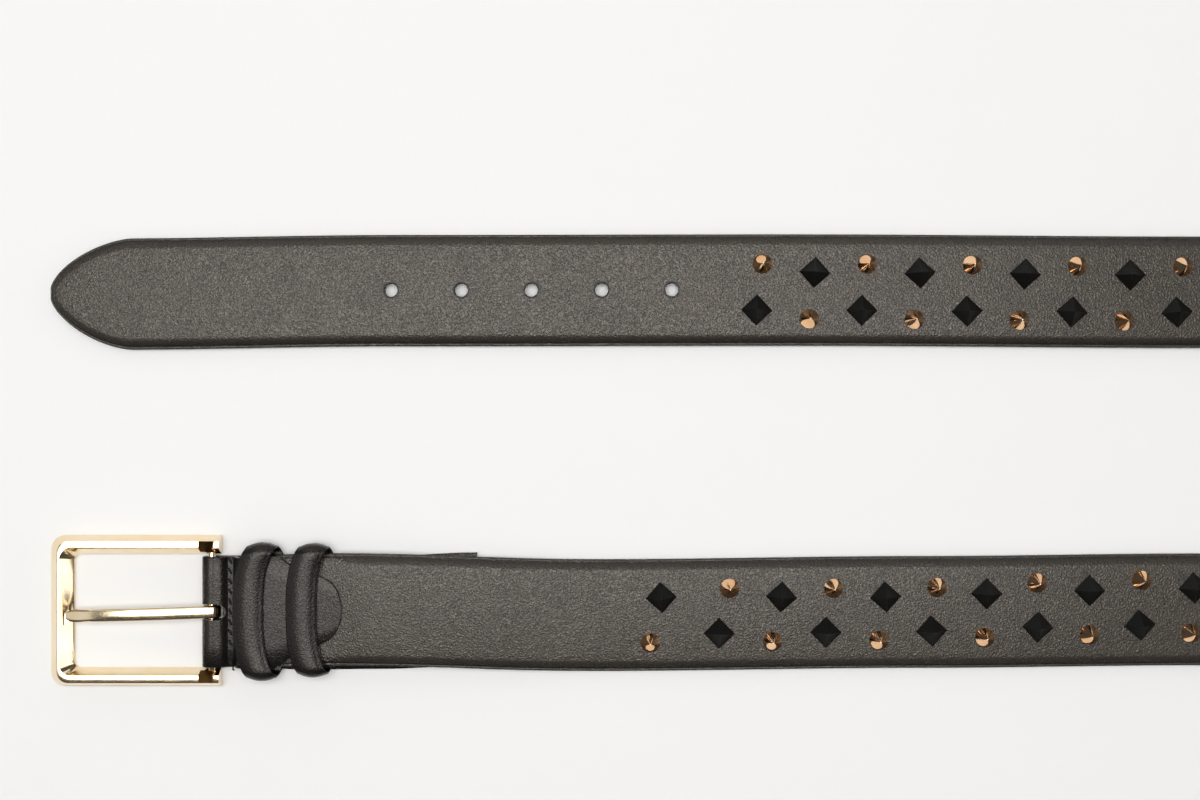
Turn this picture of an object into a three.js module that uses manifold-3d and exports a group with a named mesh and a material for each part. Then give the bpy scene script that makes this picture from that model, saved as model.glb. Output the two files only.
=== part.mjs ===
// Studded leather belt, unfastened and lying open on a table, in millimetres with +Z up.
// Both ends lie face up and side by side. Between them the strap rolls onto its edge and turns back.
// X runs along the belt, with X = 0 at the buckle's bar, and Y = 0 is the centreline of the buckle run.
// At the very end the whole belt is moved so that its origin is the middle of its footprint on the table.

import * as THREE from "three";
import { mergeVertices } from "three/addons/utils/BufferGeometryUtils.js";
import Module from "manifold-3d";

const wasm = await Module();
wasm.setup();

// Clearance between pieces that touch on the real belt
const GAP = 0.3;

// Strap: a padded face panel on a flat back panel
const STRAP_WIDTH = 35;
const BACK_THICKNESS = 1.2;
const FACE_EDGE_THICKNESS = 1.1;
const FACE_CROWN_THICKNESS = 2.3;
const ROLL_OFF = 3.6;
const SKIVED_THICKNESS = 1.2;
const STRAP_START = 10.5;

// How the strap lies
const BUCKLE_RUN = 310;
const TIP_RUN = 361;
const RUN_SPACING = 99.8;
const TWIST_LENGTH = 115;

// Pointed end
const TIP_LENGTH = 25.5;
const NOSE_WIDTH = 3.2;
const TIP_FULLNESS = 1.6;
const TIP_BLUNTNESS = 0.65;

// Punched holes
const HOLE_COUNT = 5;
const HOLE_DIAMETER = 4.4;
const HOLE_PITCH = 22;
const FIRST_HOLE_FROM_NOSE = 107.2;

// Studs: two rows of cones near the edges and two rows of pyramids inside them, taking turns
const STUD_PITCH = 16.5;
const STUDS_FROM_BAR = 144.5;
const STUDS_FROM_NOSE = 222.7;
const FIRST_COLUMN_LEAD = 5;
const CONE_ROW_FROM_EDGE = 8.9;
const CONE_DIAMETER = 6.4;
const CONE_HEIGHT = 4;
const CONE_SIDES = 10;
const PYRAMID_ROW_FROM_EDGE = 11.6;
const PYRAMID_SIDE = 6.9;
const PYRAMID_HEIGHT = 4;
const STUD_FOOT = 0.4;
const STUD_SINK = 0.6;
const STUD_TURN = 0.07;
const STUD_STRAY = 0.35;

// Chape: the folded piece of leather that holds the buckle, a tongue above and a flap below
const CHAPE_THICKNESS = 1.4;
const CHAPE_INSET = 0.2;
const TONGUE_REACH = 41.2;
const TONGUE_END_THICKNESS = 0.8;
const FLAP_REACH = 83;
const FLAP_OVERHANG = 0.3;
const RAMP_LENGTH = 38;
const STITCH_FROM_BAR = 6.2;
const STITCH_DIP = 1.5;
const SLOT_PLAY = 1;
const SLOT_REACH = 4.2;

// Keepers: two flattened leather loops
const KEEPER_WIDTH = 9.3;
const KEEPER_THICKNESS = 1.2;
const KEEPER_CORNER = 2.4;
const KEEPER_1_START = 7.6;
const KEEPER_1_SLACK = 3.45;
const KEEPER_1_LEAN = 8;
const KEEPER_2_START = 24.1;
const KEEPER_2_SLACK = 2.75;
const KEEPER_2_LEAN = 7;

// Buckle frame
const FRAME_PLAY = 0.45;
const FRAME_REACH = 51.1;
const FRAME_TAIL = 2.5;
const FRAME_SHOULDER = 1.2;
const ARM_OUTER_SLOPE = 1.6;
const ARM_TOP = 2.3;
const ARM_INNER_SLOPE = 1.9;
const CROSSBAR_OUTER_SLOPE = 3;
const CROSSBAR_TOP = 0.7;
const CROSSBAR_INNER_SLOPE = 3.6;
const OUTER_CORNER = 4.5;
const RIDGE_CORNER = 3.6;
const INNER_CORNER = 2.2;
const NOTCH_PLAY = 1.9;
const NOTCH_LENGTH = 2.6;
const NOTCH_DEPTH = 2.5;
const SADDLE_START = 3.5;
const SADDLE_END = -0.9;
const SADDLE_DEPTH = 0.5;
const SADDLE_WALL = 0.3;
const SADDLE_RIM = 1;

// Bar and prong
const BAR_DIAMETER = 2.2;
const BAR_SEAT = 3.2;
const LOOP_CLEARANCE = 0.5;
const PRONG_WIDTH = 3.9;
const PRONG_THICKNESS = 1.4;
const PRONG_BEVEL = 0.5;
const PRONG_TIP_PLAY = 1;
const PRONG_SKEW = -1.3;
const PRONG_ARCH = 1;
const EYE_END = -1.05 * Math.PI;

// How finely curves are divided: lengths along the strap, angles in radians
const FLAT_STEP = 21;
const ROLL_STEP = 8;
const TURN_STEP = 7;
const FOLD_STEP = 0.33;
const CORNER_STEPS = 5;
const HOLE_SIDES = 12;
const NOSE_STATIONS = [1, 0.8, 0.62, 0.46, 0.32, 0.2, 0.11, 0.045, 0];
const ROLL_OFF_STATIONS = [0, 0.08, 0.3, 0.6, 1];

// Sizes that follow from the ones above
const HALF_WIDTH = STRAP_WIDTH / 2;
const TURN_RADIUS = RUN_SPACING / 2;
const TURN_LENGTH = Math.PI * TURN_RADIUS;
const TURN_START = BUCKLE_RUN + TWIST_LENGTH;
const TURN_END = TURN_START + TURN_LENGTH;
const TIP_RUN_START = TURN_END + TWIST_LENGTH;
const STRAP_END = TIP_RUN_START + TIP_RUN;
const FACE_BASE = BACK_THICKNESS + GAP;
const LOOP_RADIUS = BAR_DIAMETER / 2 + LOOP_CLEARANCE + CHAPE_THICKNESS / 2;
const BAR_HEIGHT = LOOP_RADIUS + CHAPE_THICKNESS / 2;
const KEEPER_BACK = CHAPE_THICKNESS + GAP;
const STRAP_LIFT = KEEPER_BACK + KEEPER_THICKNESS + GAP;
const TONGUE_BASE = STRAP_LIFT + FACE_BASE + SKIVED_THICKNESS + GAP;
const KEEPER_FRONT = TONGUE_BASE + CHAPE_THICKNESS + GAP + KEEPER_THICKNESS;
const CONE_ROW_OFFSET = HALF_WIDTH - CONE_ROW_FROM_EDGE;
const PYRAMID_ROW_OFFSET = HALF_WIDTH - PYRAMID_ROW_FROM_EDGE;
const ARM_WIDTH = ARM_OUTER_SLOPE + ARM_TOP + ARM_INNER_SLOPE;
const OPENING_HALF_WIDTH = HALF_WIDTH + FRAME_PLAY;
const FRAME_HALF_WIDTH = OPENING_HALF_WIDTH + ARM_WIDTH;
const CROSSBAR_WIDTH = CROSSBAR_OUTER_SLOPE + CROSSBAR_TOP + CROSSBAR_INNER_SLOPE;
const BAR_SEAT_RADIUS = BAR_DIAMETER / 2 + GAP;
const FRAME_HEIGHT = BAR_HEIGHT + BAR_SEAT_RADIUS + SADDLE_WALL + SADDLE_DEPTH;
const NOTCH_FLOOR = FRAME_HEIGHT - NOTCH_DEPTH;
const PRONG_REACH = FRAME_REACH - CROSSBAR_WIDTH + NOTCH_LENGTH - PRONG_TIP_PLAY;

// The two keepers: the near edge's distance from the bar, the free room to each side, and the lean
const KEEPERS = [
  { name: "keeper_1", from: KEEPER_1_START, slack: KEEPER_1_SLACK, lean: KEEPER_1_LEAN },
  { name: "keeper_2", from: KEEPER_2_START, slack: KEEPER_2_SLACK, lean: KEEPER_2_LEAN },
];

// Sideways drift of each run, as the strap happens to lie, at shares of the run's length from its own end
const BUCKLE_RUN_DRIFT = [
  { at: 0, side: -0.4 },
  { at: 0.13, side: 0.4 },
  { at: 0.39, side: -1.8 },
  { at: 0.72, side: -0.8 },
  { at: 1, side: 0 },
];
const TIP_RUN_DRIFT = [
  { at: 0, side: -0.4 },
  { at: 0.05, side: -0.6 },
  { at: 0.3, side: 0.5 },
  { at: 0.65, side: 0.7 },
  { at: 1, side: 0 },
];

// How far the studs to the left and right of the centreline have strayed from an even field, along the
// strap and to its left, at shares of the field's length
const FIELD_DRIFT = [
  { at: 0, leftAlong: 1.5, leftSide: -0.3, rightAlong: -2.2, rightSide: 0.4 },
  { at: 0.1, leftAlong: 0.8, leftSide: -0.8, rightAlong: -1.2, rightSide: 0 },
  { at: 0.17, leftAlong: -1.2, leftSide: 0.7, rightAlong: -0.6, rightSide: 1 },
  { at: 0.24, leftAlong: -1.5, leftSide: 1.4, rightAlong: -1.9, rightSide: 1.2 },
  { at: 0.5, leftAlong: 0, leftSide: 0, rightAlong: 0, rightSide: 0 },
  { at: 0.8, leftAlong: 1.2, leftSide: 0.2, rightAlong: -1.3, rightSide: 1.1 },
  { at: 1, leftAlong: 1.2, leftSide: 0.3, rightAlong: -1.1, rightSide: 0.8 },
];

// Height of the strap's underside near the buckle, and how far its face has been pared down there
const RAMP = [
  { at: 0, lift: STRAP_LIFT, pared: 1 },
  { at: TONGUE_REACH - 10, lift: STRAP_LIFT, pared: 1 },
  { at: TONGUE_REACH + 9, lift: STRAP_LIFT, pared: 0 },
  { at: FLAP_REACH, lift: CHAPE_THICKNESS + GAP, pared: 0 },
  { at: FLAP_REACH + RAMP_LENGTH, lift: 0, pared: 0 },
];

// Outline of the chape's tongue from its end, as shares of its reach and of its half width
const TONGUE = [
  { at: 1, half: 0.03 },
  { at: 0.993, half: 0.16 },
  { at: 0.965, half: 0.36 },
  { at: 0.91, half: 0.52 },
  { at: 0.81, half: 0.64 },
  { at: 0.7, half: 0.735 },
  { at: 0.607, half: 0.84 },
  { at: 0.51, half: 1 },
  { at: 0.36, half: 1 },
  { at: 0.24, half: 1 },
];

// Sideways drift of the chape's flap, at shares of its reach
const FLAP = [
  { at: 0.15, side: -0.3 },
  { at: 0.35, side: -0.8 },
  { at: 0.65, side: -0.6 },
  { at: 1, side: 0.5 },
];

// Side view of the prong from its tip, at shares of its reach: how far it has risen from its seat to the
// top of the bar, its share of the arch, how far it tilts, and its share of the half width
const SHANK = [
  { at: 1, risen: 0, arch: 0, tilt: 0.25, half: 0.62 },
  { at: 0.98, risen: 0.08, arch: 0, tilt: 0.25, half: 0.86 },
  { at: 0.94, risen: 0.35, arch: 0, tilt: 0.3, half: 1 },
  { at: 0.85, risen: 0.75, arch: 0.3, tilt: 0.2, half: 1 },
  { at: 0.68, risen: 1, arch: 0.6, tilt: 0.08, half: 1 },
  { at: 0.45, risen: 1, arch: 1, tilt: 0, half: 1 },
  { at: 0.2, risen: 1, arch: 0.6, tilt: -0.05, half: 1 },
];

// Value of one column at a place along a table, easing from row to row.
function easedColumn(rows, column, at) {
  const next = rows.findIndex((row) => row.at > at);
  if (next === 0) return rows[0][column];
  if (next < 0) return rows[rows.length - 1][column];
  const before = rows[next - 1];
  const after = rows[next];
  const share = THREE.MathUtils.smoothstep(at, before.at, after.at);
  return THREE.MathUtils.lerp(before[column], after[column], share);
}

// Evenly spaced places from one value up to, but not at, another.
function spaced(from, to, step) {
  const count = Math.max(1, Math.round((to - from) / step));
  return Array.from({ length: count }, (_, i) => from + ((to - from) * i) / count);
}

// Skin over sections with the same number of points each, facing out. A ring's last section meets its first.
function loft(sections, isRing = false) {
  const size = sections[0].length;
  const points = sections.flat();
  const triangles = [];
  const joints = isRing ? sections.length : sections.length - 1;
  for (let i = 0; i < joints; i += 1) {
    const near = i * size;
    const far = ((i + 1) % sections.length) * size;
    for (let k = 0; k < size; k += 1) {
      const next = (k + 1) % size;
      triangles.push(near + k, near + next, far + next, near + k, far + next, far + k);
    }
  }
  if (!isRing) {
    for (const start of [0, points.length - size]) {
      const middle = points.length;
      const cap = points.slice(start, start + size);
      points.push(cap.reduce((sum, p) => sum.add(p), new THREE.Vector3()).divideScalar(size));
      for (let k = 0; k < size; k += 1) {
        const rim = [start + k, start + ((k + 1) % size)];
        triangles.push(middle, ...(start ? rim : rim.reverse()));
      }
    }
  }
  const volume = triangles.reduce((sum, _, i) => {
    if (i % 3) return sum;
    const [a, b, c] = triangles.slice(i, i + 3).map((corner) => points[corner]);
    return sum + a.dot(b.clone().cross(c));
  }, 0);
  const geometry = new THREE.BufferGeometry().setFromPoints(points);
  geometry.setIndex(volume > 0 ? triangles : triangles.reverse());
  return geometry;
}

// Closed geometry as a solid that can be joined or cut.
function toSolid(geometry) {
  const bare = geometry.clone();
  bare.deleteAttribute("normal");
  bare.deleteAttribute("uv");
  const merged = mergeVertices(bare, 1e-4);
  const corners = [];
  for (let i = 0; i < merged.index.count; i += 3) {
    const [a, b, c] = merged.index.array.slice(i, i + 3);
    if (a !== b && b !== c && c !== a) corners.push(a, b, c);
  }
  const vertProperties = merged.attributes.position.array;
  return new wasm.Manifold(
    new wasm.Mesh({ numProp: 3, vertProperties, triVerts: new Uint32Array(corners) }),
  );
}

// Geometry of a body with other bodies joined to it and cut from it.
function combined(body, { joins = [], cuts = [] }) {
  let solid = toSolid(body);
  for (const piece of joins) solid = solid.add(toSolid(piece));
  for (const piece of cuts) solid = solid.subtract(toSolid(piece));
  const { vertProperties, triVerts } = solid.getMesh();
  const geometry = new THREE.BufferGeometry();
  geometry.setAttribute("position", new THREE.BufferAttribute(vertProperties, 3));
  geometry.setIndex(new THREE.BufferAttribute(triVerts, 1));
  return geometry;
}

// Share of the quarter roll from lying flat to standing on edge.
function rollAt(s) {
  const rolledUp = THREE.MathUtils.smoothstep(s, BUCKLE_RUN, TURN_START);
  const rolledDown = THREE.MathUtils.smoothstep(s, TURN_END, TIP_RUN_START);
  return (Math.PI / 2) * (rolledUp - rolledDown);
}

// Plan position and leftward direction of the strap's centreline, at a distance from the bar.
function planAt(s) {
  if (s < TURN_START) {
    const side = easedColumn(BUCKLE_RUN_DRIFT, "side", s / BUCKLE_RUN);
    return { x: s, y: side, left: new THREE.Vector3(0, 1, 0) };
  }
  if (s > TURN_END) {
    const side = easedColumn(TIP_RUN_DRIFT, "side", (STRAP_END - s) / TIP_RUN);
    const x = TURN_START - (s - TURN_END);
    return { x, y: RUN_SPACING + side, left: new THREE.Vector3(0, -1, 0) };
  }
  const angle = (s - TURN_START) / TURN_RADIUS;
  const left = new THREE.Vector3(-Math.sin(angle), Math.cos(angle), 0);
  return { x: TURN_START - left.x * TURN_RADIUS, y: TURN_RADIUS * (1 - left.y), left };
}

// Point of the strap at a distance from the bar, a distance to the left and a height above its underside.
// The strap rolls outwards, so its left edge, the inner one of the turn, rises.
function strapPoint(s, across, height) {
  const { x, y, left } = planAt(s);
  const roll = rollAt(s);
  const centreHeight = HALF_WIDTH * Math.sin(roll) + easedColumn(RAMP, "lift", s);
  const sideways = across * Math.cos(roll) - height * Math.sin(roll);
  const up = centreHeight + across * Math.sin(roll) + height * Math.cos(roll);
  return new THREE.Vector3(x, y, 0).addScaledVector(left, sideways).setZ(up);
}

// Half of the strap's width at a distance from the bar, with the pointed end.
function halfWidthAt(s) {
  const fromNose = (STRAP_END - s) / TIP_LENGTH;
  if (fromNose >= 1) return HALF_WIDTH;
  const swelling = (1 - (1 - fromNose) ** TIP_FULLNESS) ** TIP_BLUNTNESS;
  return THREE.MathUtils.lerp(NOSE_WIDTH / 2, HALF_WIDTH, swelling);
}

// Height of the padded face above the strap's underside.
function faceHeightAt(s, across) {
  const inset = Math.min(halfWidthAt(s) - Math.abs(across), STRAP_END - s) / ROLL_OFF;
  const fullness = Math.sqrt(1 - (1 - THREE.MathUtils.clamp(inset, 0, 1)) ** 2);
  const padded = THREE.MathUtils.lerp(FACE_EDGE_THICKNESS, FACE_CROWN_THICKNESS, fullness);
  const pared = easedColumn(RAMP, "pared", s);
  return FACE_BASE + THREE.MathUtils.lerp(padded, Math.min(padded, SKIVED_THICKNESS), pared);
}

// Places along the strap where it has a section: close together where it rises, rolls, turns or narrows.
function strapStations() {
  return [
    ...spaced(STRAP_START, FLAP_REACH + RAMP_LENGTH, ROLL_STEP),
    ...spaced(FLAP_REACH + RAMP_LENGTH, BUCKLE_RUN, FLAT_STEP),
    ...spaced(BUCKLE_RUN, TURN_START, ROLL_STEP),
    ...spaced(TURN_START, TURN_END, TURN_STEP),
    ...spaced(TURN_END, TIP_RUN_START, ROLL_STEP),
    ...spaced(TIP_RUN_START, STRAP_END - TIP_LENGTH, FLAT_STEP),
    ...NOSE_STATIONS.map((share) => STRAP_END - share * TIP_LENGTH),
  ];
}

// Section of the padded face panel: flat below, rolled off towards both edges above.
function faceSection(s) {
  const half = halfWidthAt(s);
  const insets = ROLL_OFF_STATIONS.map((share) => (share * ROLL_OFF * half) / HALF_WIDTH);
  const right = insets.map((inset) => inset - half);
  const left = insets.map((inset) => half - inset).reverse();
  const top = [...right, ...left].map((across) => strapPoint(s, across, faceHeightAt(s, across)));
  return [...[half, 0, -half].map((across) => strapPoint(s, across, FACE_BASE)), ...top];
}

// Section of the flat back panel. Its top runs the way that the face's underside does, so that the two
// stay parallel where the strap rolls.
function backSection(s) {
  const half = halfWidthAt(s);
  return [
    ...[half, 0, -half].map((across) => strapPoint(s, across, BACK_THICKNESS)),
    ...[-half, 0, half].map((across) => strapPoint(s, across, 0)),
  ];
}

// Turned body standing on the strap's face, from its profile of radius and height.
function onFace(profile, sides, s, across, turn) {
  const step = 0.5;
  const centre = strapPoint(s, across, faceHeightAt(s, across));
  const along = strapPoint(s + step, across, 0).sub(strapPoint(s - step, across, 0)).normalize();
  const left = strapPoint(s, across + step, 0).sub(strapPoint(s, across - step, 0));
  const up = along.clone().cross(left).normalize();
  const basis = new THREE.Matrix4().makeBasis(along, up.clone().cross(along), up);
  const upright = new THREE.Matrix4().makeRotationX(Math.PI / 2);
  const turned = new THREE.Matrix4().makeRotationZ(turn);
  return new THREE.LatheGeometry(profile, sides)
    .applyMatrix4(upright)
    .applyMatrix4(turned)
    .applyMatrix4(basis)
    .translate(centre.x, centre.y, centre.z);
}

// Profile of a stud, from its sunk foot to its point.
function studProfile(radius, height) {
  return [
    new THREE.Vector2(0, -STUD_SINK),
    new THREE.Vector2(radius, -STUD_SINK),
    new THREE.Vector2(radius, STUD_FOOT),
    new THREE.Vector2(0, height),
  ];
}

// Place of a stud that belongs at a distance from the bar and to the left, strayed with the field.
function strayed(s, across, share) {
  const row = across > 0 ? "left" : "right";
  return [
    s + easedColumn(FIELD_DRIFT, `${row}Along`, share),
    across + easedColumn(FIELD_DRIFT, `${row}Side`, share),
  ];
}

// All studs, in columns of one cone and one pyramid that change sides from column to column. They are
// set by hand, so each is turned and strays a little.
function studs() {
  const cone = studProfile(CONE_DIAMETER / 2, CONE_HEIGHT);
  const pyramid = studProfile(PYRAMID_SIDE / Math.SQRT2, PYRAMID_HEIGHT);
  const fieldLength = STRAP_END - STUDS_FROM_NOSE - STUDS_FROM_BAR;
  const steps = 2 * Math.round(fieldLength / STUD_PITCH / 2);
  const pieces = [];
  for (let column = 0; column <= steps; column += 1) {
    const lead = column === 0 ? FIRST_COLUMN_LEAD : 0;
    const s = STUDS_FROM_BAR + (fieldLength * column) / steps - lead;
    const side = column % 2 ? -1 : 1;
    const turn = STUD_TURN * Math.sin(5 * column + 1);
    const stray = STUD_STRAY * Math.cos(3 * column + 2);
    const share = column / steps;
    const pyramidPlace = strayed(s + stray, side * PYRAMID_ROW_OFFSET - stray, share);
    const conePlace = strayed(s - stray, stray - side * CONE_ROW_OFFSET, share);
    pieces.push(onFace(pyramid, 4, ...pyramidPlace, turn));
    pieces.push(onFace(cone, CONE_SIDES, ...conePlace, turn));
  }
  return pieces;
}

// Round punches for the row of holes.
function holePunches() {
  return Array.from({ length: HOLE_COUNT }, (_, i) => {
    const { x, y } = planAt(STRAP_END - FIRST_HOLE_FROM_NOSE - i * HOLE_PITCH);
    const depth = 4 * (FACE_BASE + FACE_CROWN_THICKNESS);
    return new THREE.CylinderGeometry(HOLE_DIAMETER / 2, HOLE_DIAMETER / 2, depth, HOLE_SIDES)
      .rotateX(Math.PI / 2)
      .translate(x, y, 0);
  });
}

function strapFace() {
  return combined(loft(strapStations().map(faceSection)), { joins: studs(), cuts: holePunches() });
}

function strapBack() {
  return combined(loft(strapStations().map(backSection)), { cuts: holePunches() });
}

// Stations of the chape, from the end of its tongue round the bar to the end of its flap.
// Each has its place, its outward direction, its thickness, its half width and its sideways drift.
function chapeStations() {
  const half = HALF_WIDTH - CHAPE_INSET;
  const side = BUCKLE_RUN_DRIFT[0].side;
  const fold = { angle: Math.PI / 2, thickness: CHAPE_THICKNESS, half, side };
  const stations = TONGUE.map((row) => {
    const x = row.at * TONGUE_REACH;
    const thinned = Math.max(0, 2 * row.at - 1);
    const thickness = THREE.MathUtils.lerp(CHAPE_THICKNESS, TONGUE_END_THICKNESS, thinned);
    const z = faceHeightAt(x, 0) + easedColumn(RAMP, "lift", x) + GAP + thickness / 2;
    return { ...fold, x, z, thickness, half: half * row.half, side: planAt(x).y };
  });
  const top = BAR_HEIGHT + LOOP_RADIUS;
  const slope = Math.atan2(STITCH_FROM_BAR, STITCH_DIP);
  stations.push({ ...fold, x: STITCH_FROM_BAR, z: top - STITCH_DIP });
  stations.push({ ...fold, x: STITCH_FROM_BAR / 2, z: top - STITCH_DIP / 2, angle: slope });
  for (const angle of [...spaced(slope, 1.5 * Math.PI, FOLD_STEP), 1.5 * Math.PI]) {
    const x = LOOP_RADIUS * Math.cos(angle);
    stations.push({ ...fold, x, z: BAR_HEIGHT + LOOP_RADIUS * Math.sin(angle), angle });
  }
  for (const row of FLAP) {
    stations.push({
      ...fold,
      x: row.at * FLAP_REACH,
      z: CHAPE_THICKNESS / 2,
      angle: 1.5 * Math.PI,
      half: HALF_WIDTH + FLAP_OVERHANG,
      side: side + row.side,
    });
  }
  return stations;
}

function chape() {
  const sections = chapeStations().map(({ x, z, angle, thickness, half, side }) => {
    const out = new THREE.Vector3(Math.cos(angle), 0, Math.sin(angle)).multiplyScalar(thickness / 2);
    const middle = new THREE.Vector3(x, side, z);
    const left = new THREE.Vector3(0, half, 0);
    return [
      middle.clone().add(out).add(left),
      middle.clone().add(out).sub(left),
      middle.clone().sub(out).sub(left),
      middle.clone().sub(out).add(left),
    ];
  });
  const slot = new THREE.Shape();
  const slotRadius = (PRONG_WIDTH + SLOT_PLAY) / 2;
  const reach = SLOT_REACH - slotRadius;
  slot.moveTo(-2 * BAR_HEIGHT, -slotRadius);
  slot.lineTo(reach, -slotRadius);
  slot.absarc(reach, 0, slotRadius, -Math.PI / 2, Math.PI / 2, false);
  slot.lineTo(-2 * BAR_HEIGHT, slotRadius);
  const straight = { depth: 4 * BAR_HEIGHT, bevelEnabled: false, curveSegments: CORNER_STEPS };
  const punch = new THREE.ExtrudeGeometry(slot, straight).translate(0, BUCKLE_RUN_DRIFT[0].side, -BAR_HEIGHT);
  return combined(loft(sections), { cuts: [punch] });
}

// Points and outward directions round a rectangle with round corners, in the Y and Z plane.
function roundedRectangle(halfWidth, bottom, top, corner, sideSteps) {
  const points = [];
  const centres = [
    { y: halfWidth - corner, z: top - corner, start: 0 },
    { y: corner - halfWidth, z: top - corner, start: 90 },
    { y: corner - halfWidth, z: bottom + corner, start: 180 },
    { y: halfWidth - corner, z: bottom + corner, start: 270 },
  ];
  centres.forEach(({ y, z, start }, i) => {
    for (let k = 0; k <= CORNER_STEPS; k += 1) {
      const angle = THREE.MathUtils.degToRad(start + (90 * k) / CORNER_STEPS);
      const out = new THREE.Vector3(0, Math.cos(angle), Math.sin(angle));
      points.push({ place: new THREE.Vector3(0, y, z).addScaledVector(out, corner), out });
    }
    const isFlat = i % 2 === 0;
    const out = new THREE.Vector3(0, 0, i === 0 ? 1 : -1);
    for (let k = 1; isFlat && k < sideSteps; k += 1) {
      const across = THREE.MathUtils.lerp(y, -y, k / sideSteps);
      points.push({ place: new THREE.Vector3(0, across, z + out.z * corner), out });
    }
  });
  return points;
}

// Flattened loop round the strap, the flap left out. It leans, with its back part further from the buckle.
function keeper({ from, slack, lean }) {
  const halfThickness = KEEPER_THICKNESS / 2;
  const bottom = KEEPER_BACK + halfThickness;
  const top = KEEPER_FRONT - halfThickness;
  const halfSpan = HALF_WIDTH + slack - halfThickness;
  const corner = Math.min(KEEPER_CORNER, 0.48 * (top - bottom));
  const ring = roundedRectangle(halfSpan, bottom, top, corner, 8);
  const middle = (bottom + top) / 2;
  const side = planAt(from + (KEEPER_WIDTH + lean) / 2).y;
  const chamfer = KEEPER_THICKNESS / 4;
  const profile = [
    { along: 0, rise: 0 },
    { along: chamfer, rise: halfThickness },
    { along: KEEPER_WIDTH - chamfer, rise: halfThickness },
    { along: KEEPER_WIDTH, rise: 0 },
    { along: KEEPER_WIDTH - chamfer, rise: -halfThickness },
    { along: chamfer, rise: -halfThickness },
  ];
  const sections = ring.map(({ place, out }) => {
    const roundness = Math.abs(place.y) / halfSpan;
    const turn = place.z > middle ? roundness ** 3 / 2 : 1 - roundness ** 3 / 2;
    return profile.map(({ along, rise }) =>
      place.clone().addScaledVector(out, rise).add(new THREE.Vector3(from + lean * turn + along, side, 0)),
    );
  });
  return loft(sections, true);
}

// Rounded outline of the frame at one inset from its arms and from its crossbar, arm end to arm end.
function frameOutline({ arm, crossbar, corner, height }) {
  const half = FRAME_HALF_WIDTH - arm;
  const end = -FRAME_REACH + crossbar;
  const points = [new THREE.Vector3(FRAME_TAIL, half, height)];
  for (const side of [1, -1]) {
    for (let k = 0; k <= CORNER_STEPS; k += 1) {
      const angle = (Math.PI / 2) * ((side > 0 ? 1 : 2) + k / CORNER_STEPS);
      const x = end + corner + corner * Math.cos(angle);
      points.push(new THREE.Vector3(x, side * (half - corner) + corner * Math.sin(angle), height));
    }
  }
  points.push(new THREE.Vector3(FRAME_TAIL, -half, height));
  return points;
}

// Open frame with three facets all round, a seat for the prong, and seats for the bar in its arms.
function buckleFrame() {
  const armRidge = ARM_OUTER_SLOPE + ARM_TOP;
  const crossbarRidge = CROSSBAR_OUTER_SLOPE + CROSSBAR_TOP;
  const outlines = [
    { arm: 0, crossbar: 0, corner: OUTER_CORNER, height: 0 },
    { arm: 0, crossbar: 0, corner: OUTER_CORNER, height: FRAME_SHOULDER },
    { arm: ARM_OUTER_SLOPE, crossbar: CROSSBAR_OUTER_SLOPE, corner: RIDGE_CORNER, height: FRAME_HEIGHT },
    { arm: armRidge, crossbar: crossbarRidge, corner: RIDGE_CORNER, height: FRAME_HEIGHT },
    { arm: ARM_WIDTH, crossbar: CROSSBAR_WIDTH, corner: INNER_CORNER, height: FRAME_SHOULDER },
    { arm: ARM_WIDTH, crossbar: CROSSBAR_WIDTH, corner: INNER_CORNER, height: 0 },
  ].map(frameOutline);
  const body = loft(outlines[0].map((_, i) => outlines.map((outline) => outline[i])));

  const inner = CROSSBAR_WIDTH - FRAME_REACH;
  const notch = new THREE.BoxGeometry(2 * NOTCH_LENGTH, PRONG_WIDTH + NOTCH_PLAY, 2 * NOTCH_DEPTH)
    .translate(inner, PRONG_SKEW, FRAME_HEIGHT);
  const cuts = [notch];
  for (const side of [1, -1]) {
    const depth = ARM_WIDTH - SADDLE_RIM;
    const saddle = new THREE.BoxGeometry(SADDLE_START - SADDLE_END, depth * 2, 2 * SADDLE_DEPTH);
    cuts.push(saddle.translate(-(SADDLE_START + SADDLE_END) / 2, side * OPENING_HALF_WIDTH, FRAME_HEIGHT));
    const deep = 2 * (BAR_SEAT + GAP);
    const seat = new THREE.CylinderGeometry(BAR_SEAT_RADIUS, BAR_SEAT_RADIUS, deep, HOLE_SIDES);
    cuts.push(seat.translate(0, side * OPENING_HALF_WIDTH, BAR_HEIGHT));
  }
  return combined(body, { cuts }).translate(0, BUCKLE_RUN_DRIFT[0].side, 0);
}

function buckleBar() {
  const length = 2 * (OPENING_HALF_WIDTH + BAR_SEAT);
  return new THREE.CylinderGeometry(BAR_DIAMETER / 2, BAR_DIAMETER / 2, length, HOLE_SIDES)
    .translate(0, BUCKLE_RUN_DRIFT[0].side, BAR_HEIGHT);
}

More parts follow.
